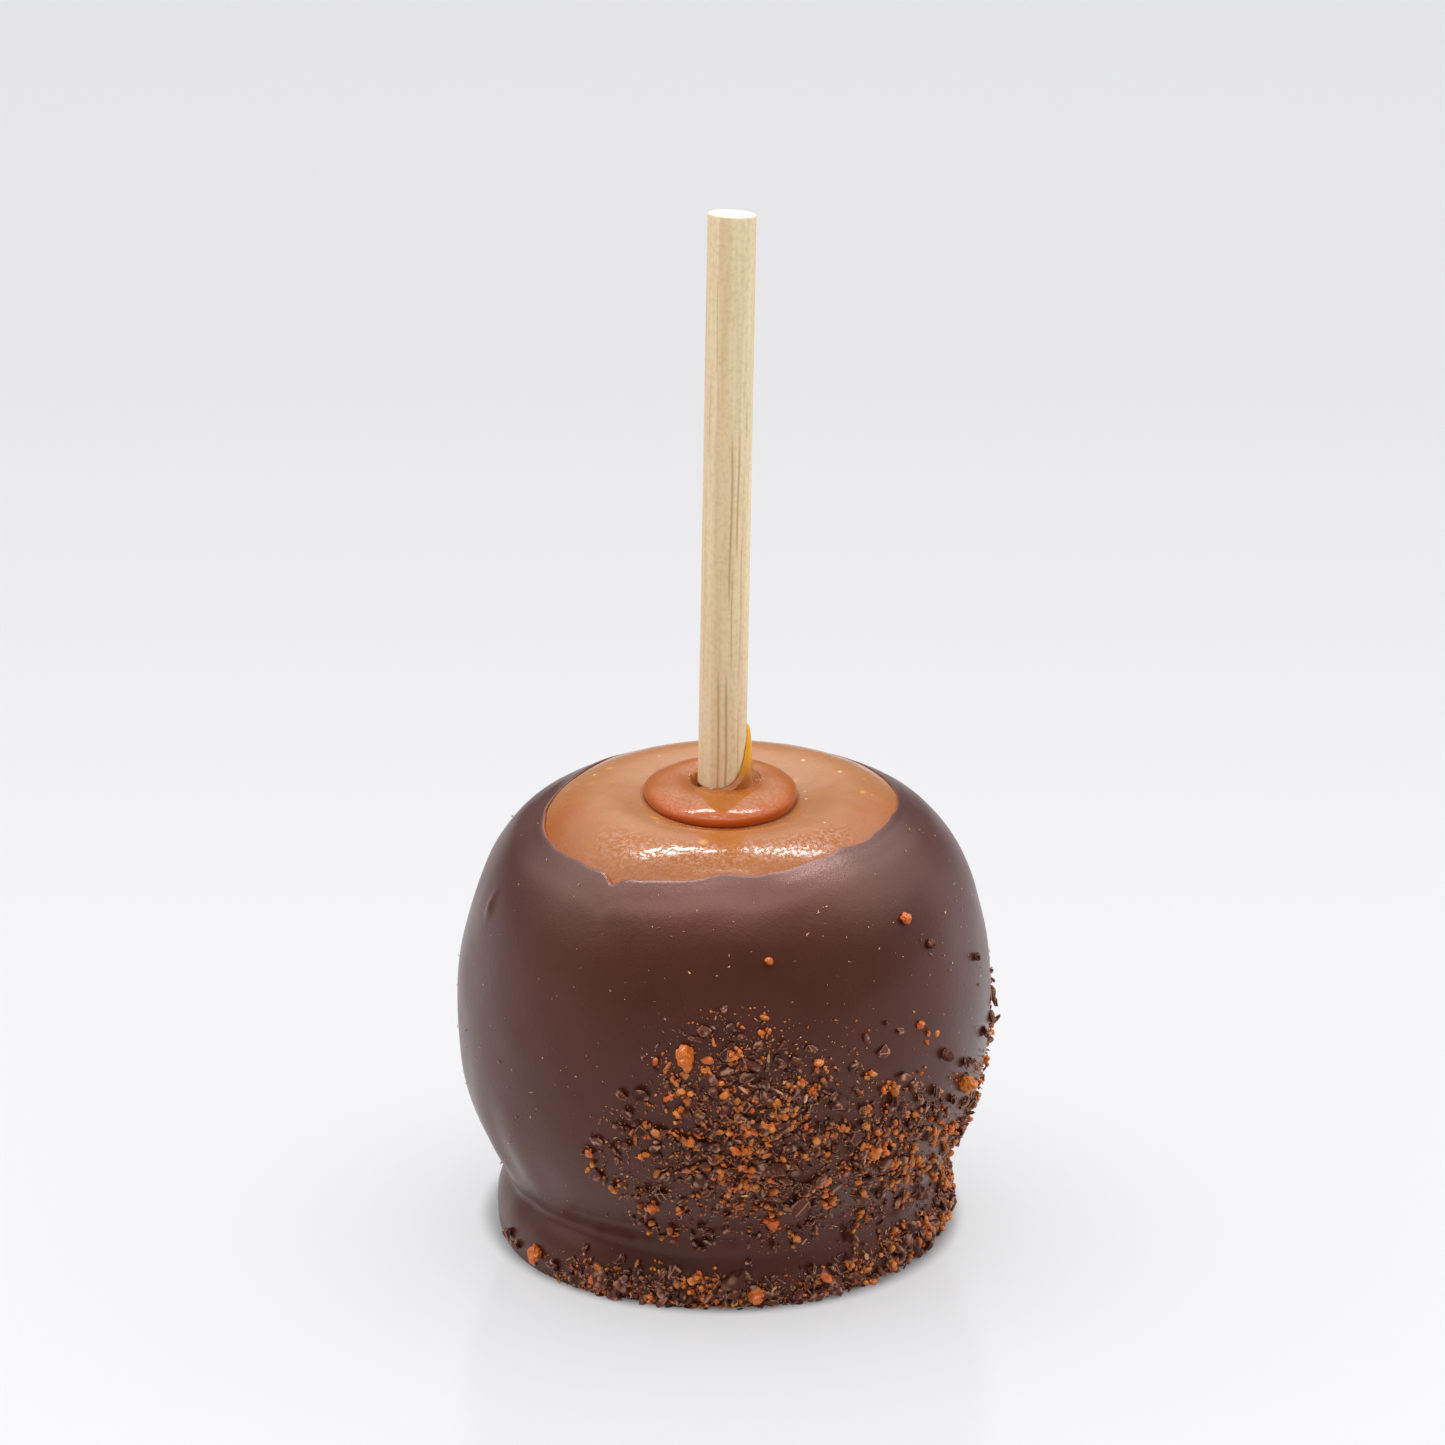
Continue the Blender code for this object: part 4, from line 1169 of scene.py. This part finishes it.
def make_all_crumbs(wall, azimuths, outwards):
    """Every kind of crumb on the chocolate: those that the solids have, each in the same place,
    and much finer ones scattered over the crumbed parts."""
    random = np.random.default_rng(CRUMB_SEED + 1)
    azimuths = turned(azimuths)
    cover = crumb_cover(azimuths, wall[..., 2])
    low = smooth_step(wall[..., 2], 0.008, 0.022)
    patchy = np.clip(1 + 0.9 * ripple(wall, 0.006, 41), 0.05, 2.5)
    orange = np.clip(1 + 1.2 * ripple(wall, 0.009, 42), 0.1, 3) * (0.5 + 0.5 * low)

    places = solid_crumbs()
    kinds = [kind for azimuth, height, size, kind in LARGE_CRUMBS]
    kinds += list(np.where(random.uniform(0, 1, len(places) - len(kinds)) < 0.36, "cluster", "chocolate"))
    kinds = np.array(kinds)
    step = np.rint(places[:, 0] * SHELL_STEPS / 360).astype(int) % SHELL_STEPS
    ring = np.abs(wall[step, :, 2] - places[:, 1:2]).argmin(axis=1)
    spots, ways = wall[step, ring], outwards[step, ring]
    fine = even_ball(4)
    made = []
    for kind, finish, radii_of, tones, rough in (
            ("toffee", "toffee", boulder_radii, (0.4, 0.8), 0.18),
            ("brown", "crumb_chocolate", boulder_radii, (0.1, 0.5), 0.20),
            ("chocolate", "crumb_chocolate", shard_radii, (0.1, 0.8), 0.07)):
        mine = kinds == kind
        made.append(make_crumbs("large_" + kind, finish, fine, radii_of, (spots[mine], ways[mine]),
                                places[mine, 2] * 1.1, random, stretch=(1.05, 1.0, 0.8), spread=0.08,
                                tilt=0.3, lift=(0.1, 0.25), tones=tones, rough=rough))

    mine = kinds == "cluster"
    heaps = clustered(random, (spots[mine], ways[mine]), (4, 8), 0.0005)
    loose = scatter(random, wall, outwards, cover * patchy * orange, 560)
    loose = clustered(random, loose, (1, 4), 0.0006)
    lumps = [np.concatenate(both) for both in zip(heaps, loose)]
    made.append(make_crumbs("toffee_nuggets", "toffee", ball_grid(8, 5), nugget_radii, lumps,
                            spread_sizes(random, len(lumps[0]), 0.55, 1.75, 1.4), random, tones=(0, 0.94),
                            stretch=(1.2, 1, 0.8), spread=0.25, lift=(0.1, 0.6), rough=0.14, smooth=True))

    ahead = 0.14 * smooth_step(azimuths, -110, 0) * (1 - smooth_step(azimuths, 60, 150))
    halo = 0.03 + ahead + 4 * np.sqrt(cover)
    bits, grit = cover * patchy, cover ** 0.7 * patchy
    for name, finish, grid, radii_of, weights, count, sizes, settings in (
            ("chocolate_shards", "crumb_chocolate", even_ball(2), shard_radii, bits, 1250, (0.7, 2.5),
             {"stretch": (1.3, 1, 0.6), "lift": (0.1, 0.4), "tones": (0, 0.9), "rough": 0.05}),
            ("chocolate_flakes", "crumb_chocolate", ball_grid(6, 2), shard_radii, bits, 1500, (0.4, 1.2),
             {"stretch": (1.9, 0.7, 0.3), "spread": 0.3, "tilt": 0.7, "lift": (0.2, 0.6), "tones": (0.5, 1)}),
            ("toffee_grit", "toffee", ball_grid(5, 2), nugget_radii, grit, 2600, (0.26, 0.7),
             {"lift": (0.2, 0.7), "tones": (0.3, 1)}),
            ("pale_dust", "crumb_chocolate", ball_grid(4, 1), nugget_radii, halo, 3600, (0.16, 0.5, 2.0),
             {"stretch": (1.6, 0.7, 0.6), "spread": 0.35, "lift": (0.2, 0.6), "tones": (0.94, 1)})):
        scattered = scatter(random, wall, outwards, weights, count)
        made.append(make_crumbs(name, finish, grid, radii_of, scattered, spread_sizes(random, count, *sizes),
                                random, **settings))
    return made


# --- Stage

def make_floor():
    """A wide plain floor."""
    corners = FLOOR_HALF * np.array([(-1, -1, 0), (1, -1, 0), (1, 1, 0), (-1, 1, 0)])
    floor = new_piece("floor", corners, [[0, 1, 2, 3]], "floor", False)


def make_light(name, place, size, power):
    """A soft rectangular light that faces the apple and shows in its gloss only: the
    surroundings light its colours."""
    lamp = bpy.data.lights.new(name, "AREA")
    lamp.shape = "RECTANGLE"
    lamp.size, lamp.size_y = size
    lamp.energy = power
    light = bpy.data.objects.new(name, lamp)
    x, y, z = np.array([0, 0, 0.05]) - np.array(place)
    light.location = place
    light.rotation_euler = (math.atan2(math.hypot(x, y), -z), 0, math.atan2(x, -y) + math.pi)
    light.visible_diffuse = False
    bpy.context.scene.collection.objects.link(light)


def make_world():
    """Soft surroundings, bright behind and overhead and dim in front."""
    world = bpy.data.worlds.new("studio")
    bpy.context.scene.world = world
    world.use_nodes = True
    nodes = Nodes(world.node_tree)
    x, y, z = nodes.parts(nodes.place("Generated"))
    walls = nodes.blended(nodes.between(y, -0.8, 0.0), (0.38, 0.38, 0.38, 1), (0.58, 0.58, 0.59, 1))
    walls = nodes.blended(nodes.between(y, 0.3, 0.95), walls, (0.18, 0.18, 0.19, 1))
    rise = nodes.maths("MULTIPLY_ADD", nodes.maths("MINIMUM", y, 0.0), 0.75, z)
    sky = nodes.blended(nodes.between(rise, 0.25, 0.8), walls, (2.7, 2.7, 2.71, 1))
    nodes.feed(world.node_tree.nodes["Background"].inputs["Color"], sky)


def make_camera():
    """The camera where the photograph was taken from."""
    lens = bpy.data.cameras.new("camera")
    lens.lens = 161.9
    lens.sensor_width = 36
    lens.clip_start = 0.01
    camera = bpy.data.objects.new("camera", lens)
    camera.location = (0.0001, -0.883, 0.4118)
    camera.rotation_euler = (math.radians(69.28), 0, 0)
    bpy.context.scene.collection.objects.link(camera)
    bpy.context.scene.camera = camera


# --- The apple

def dress(piece, node):
    """The piece rides on the apple and stands in for a node, whose solid is hidden."""
    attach(piece, "root")
    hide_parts(node)


make_camera()
make_world()
make_floor()
for light in LIGHTS:
    make_light(*light)
bpy.context.scene.view_settings.view_transform = "Standard"

shell, wall_points, wall_azimuths, wall_outwards = make_shell()
dress(shell, "chocolate_coat")
dress(make_caramel(), "caramel_coat")
dress(make_collar(), "caramel_collar")
dress(make_stick(), "stick")
for crumbs in make_all_crumbs(wall_points, wall_azimuths, wall_outwards):
    dress(crumbs, "chocolate_coat")
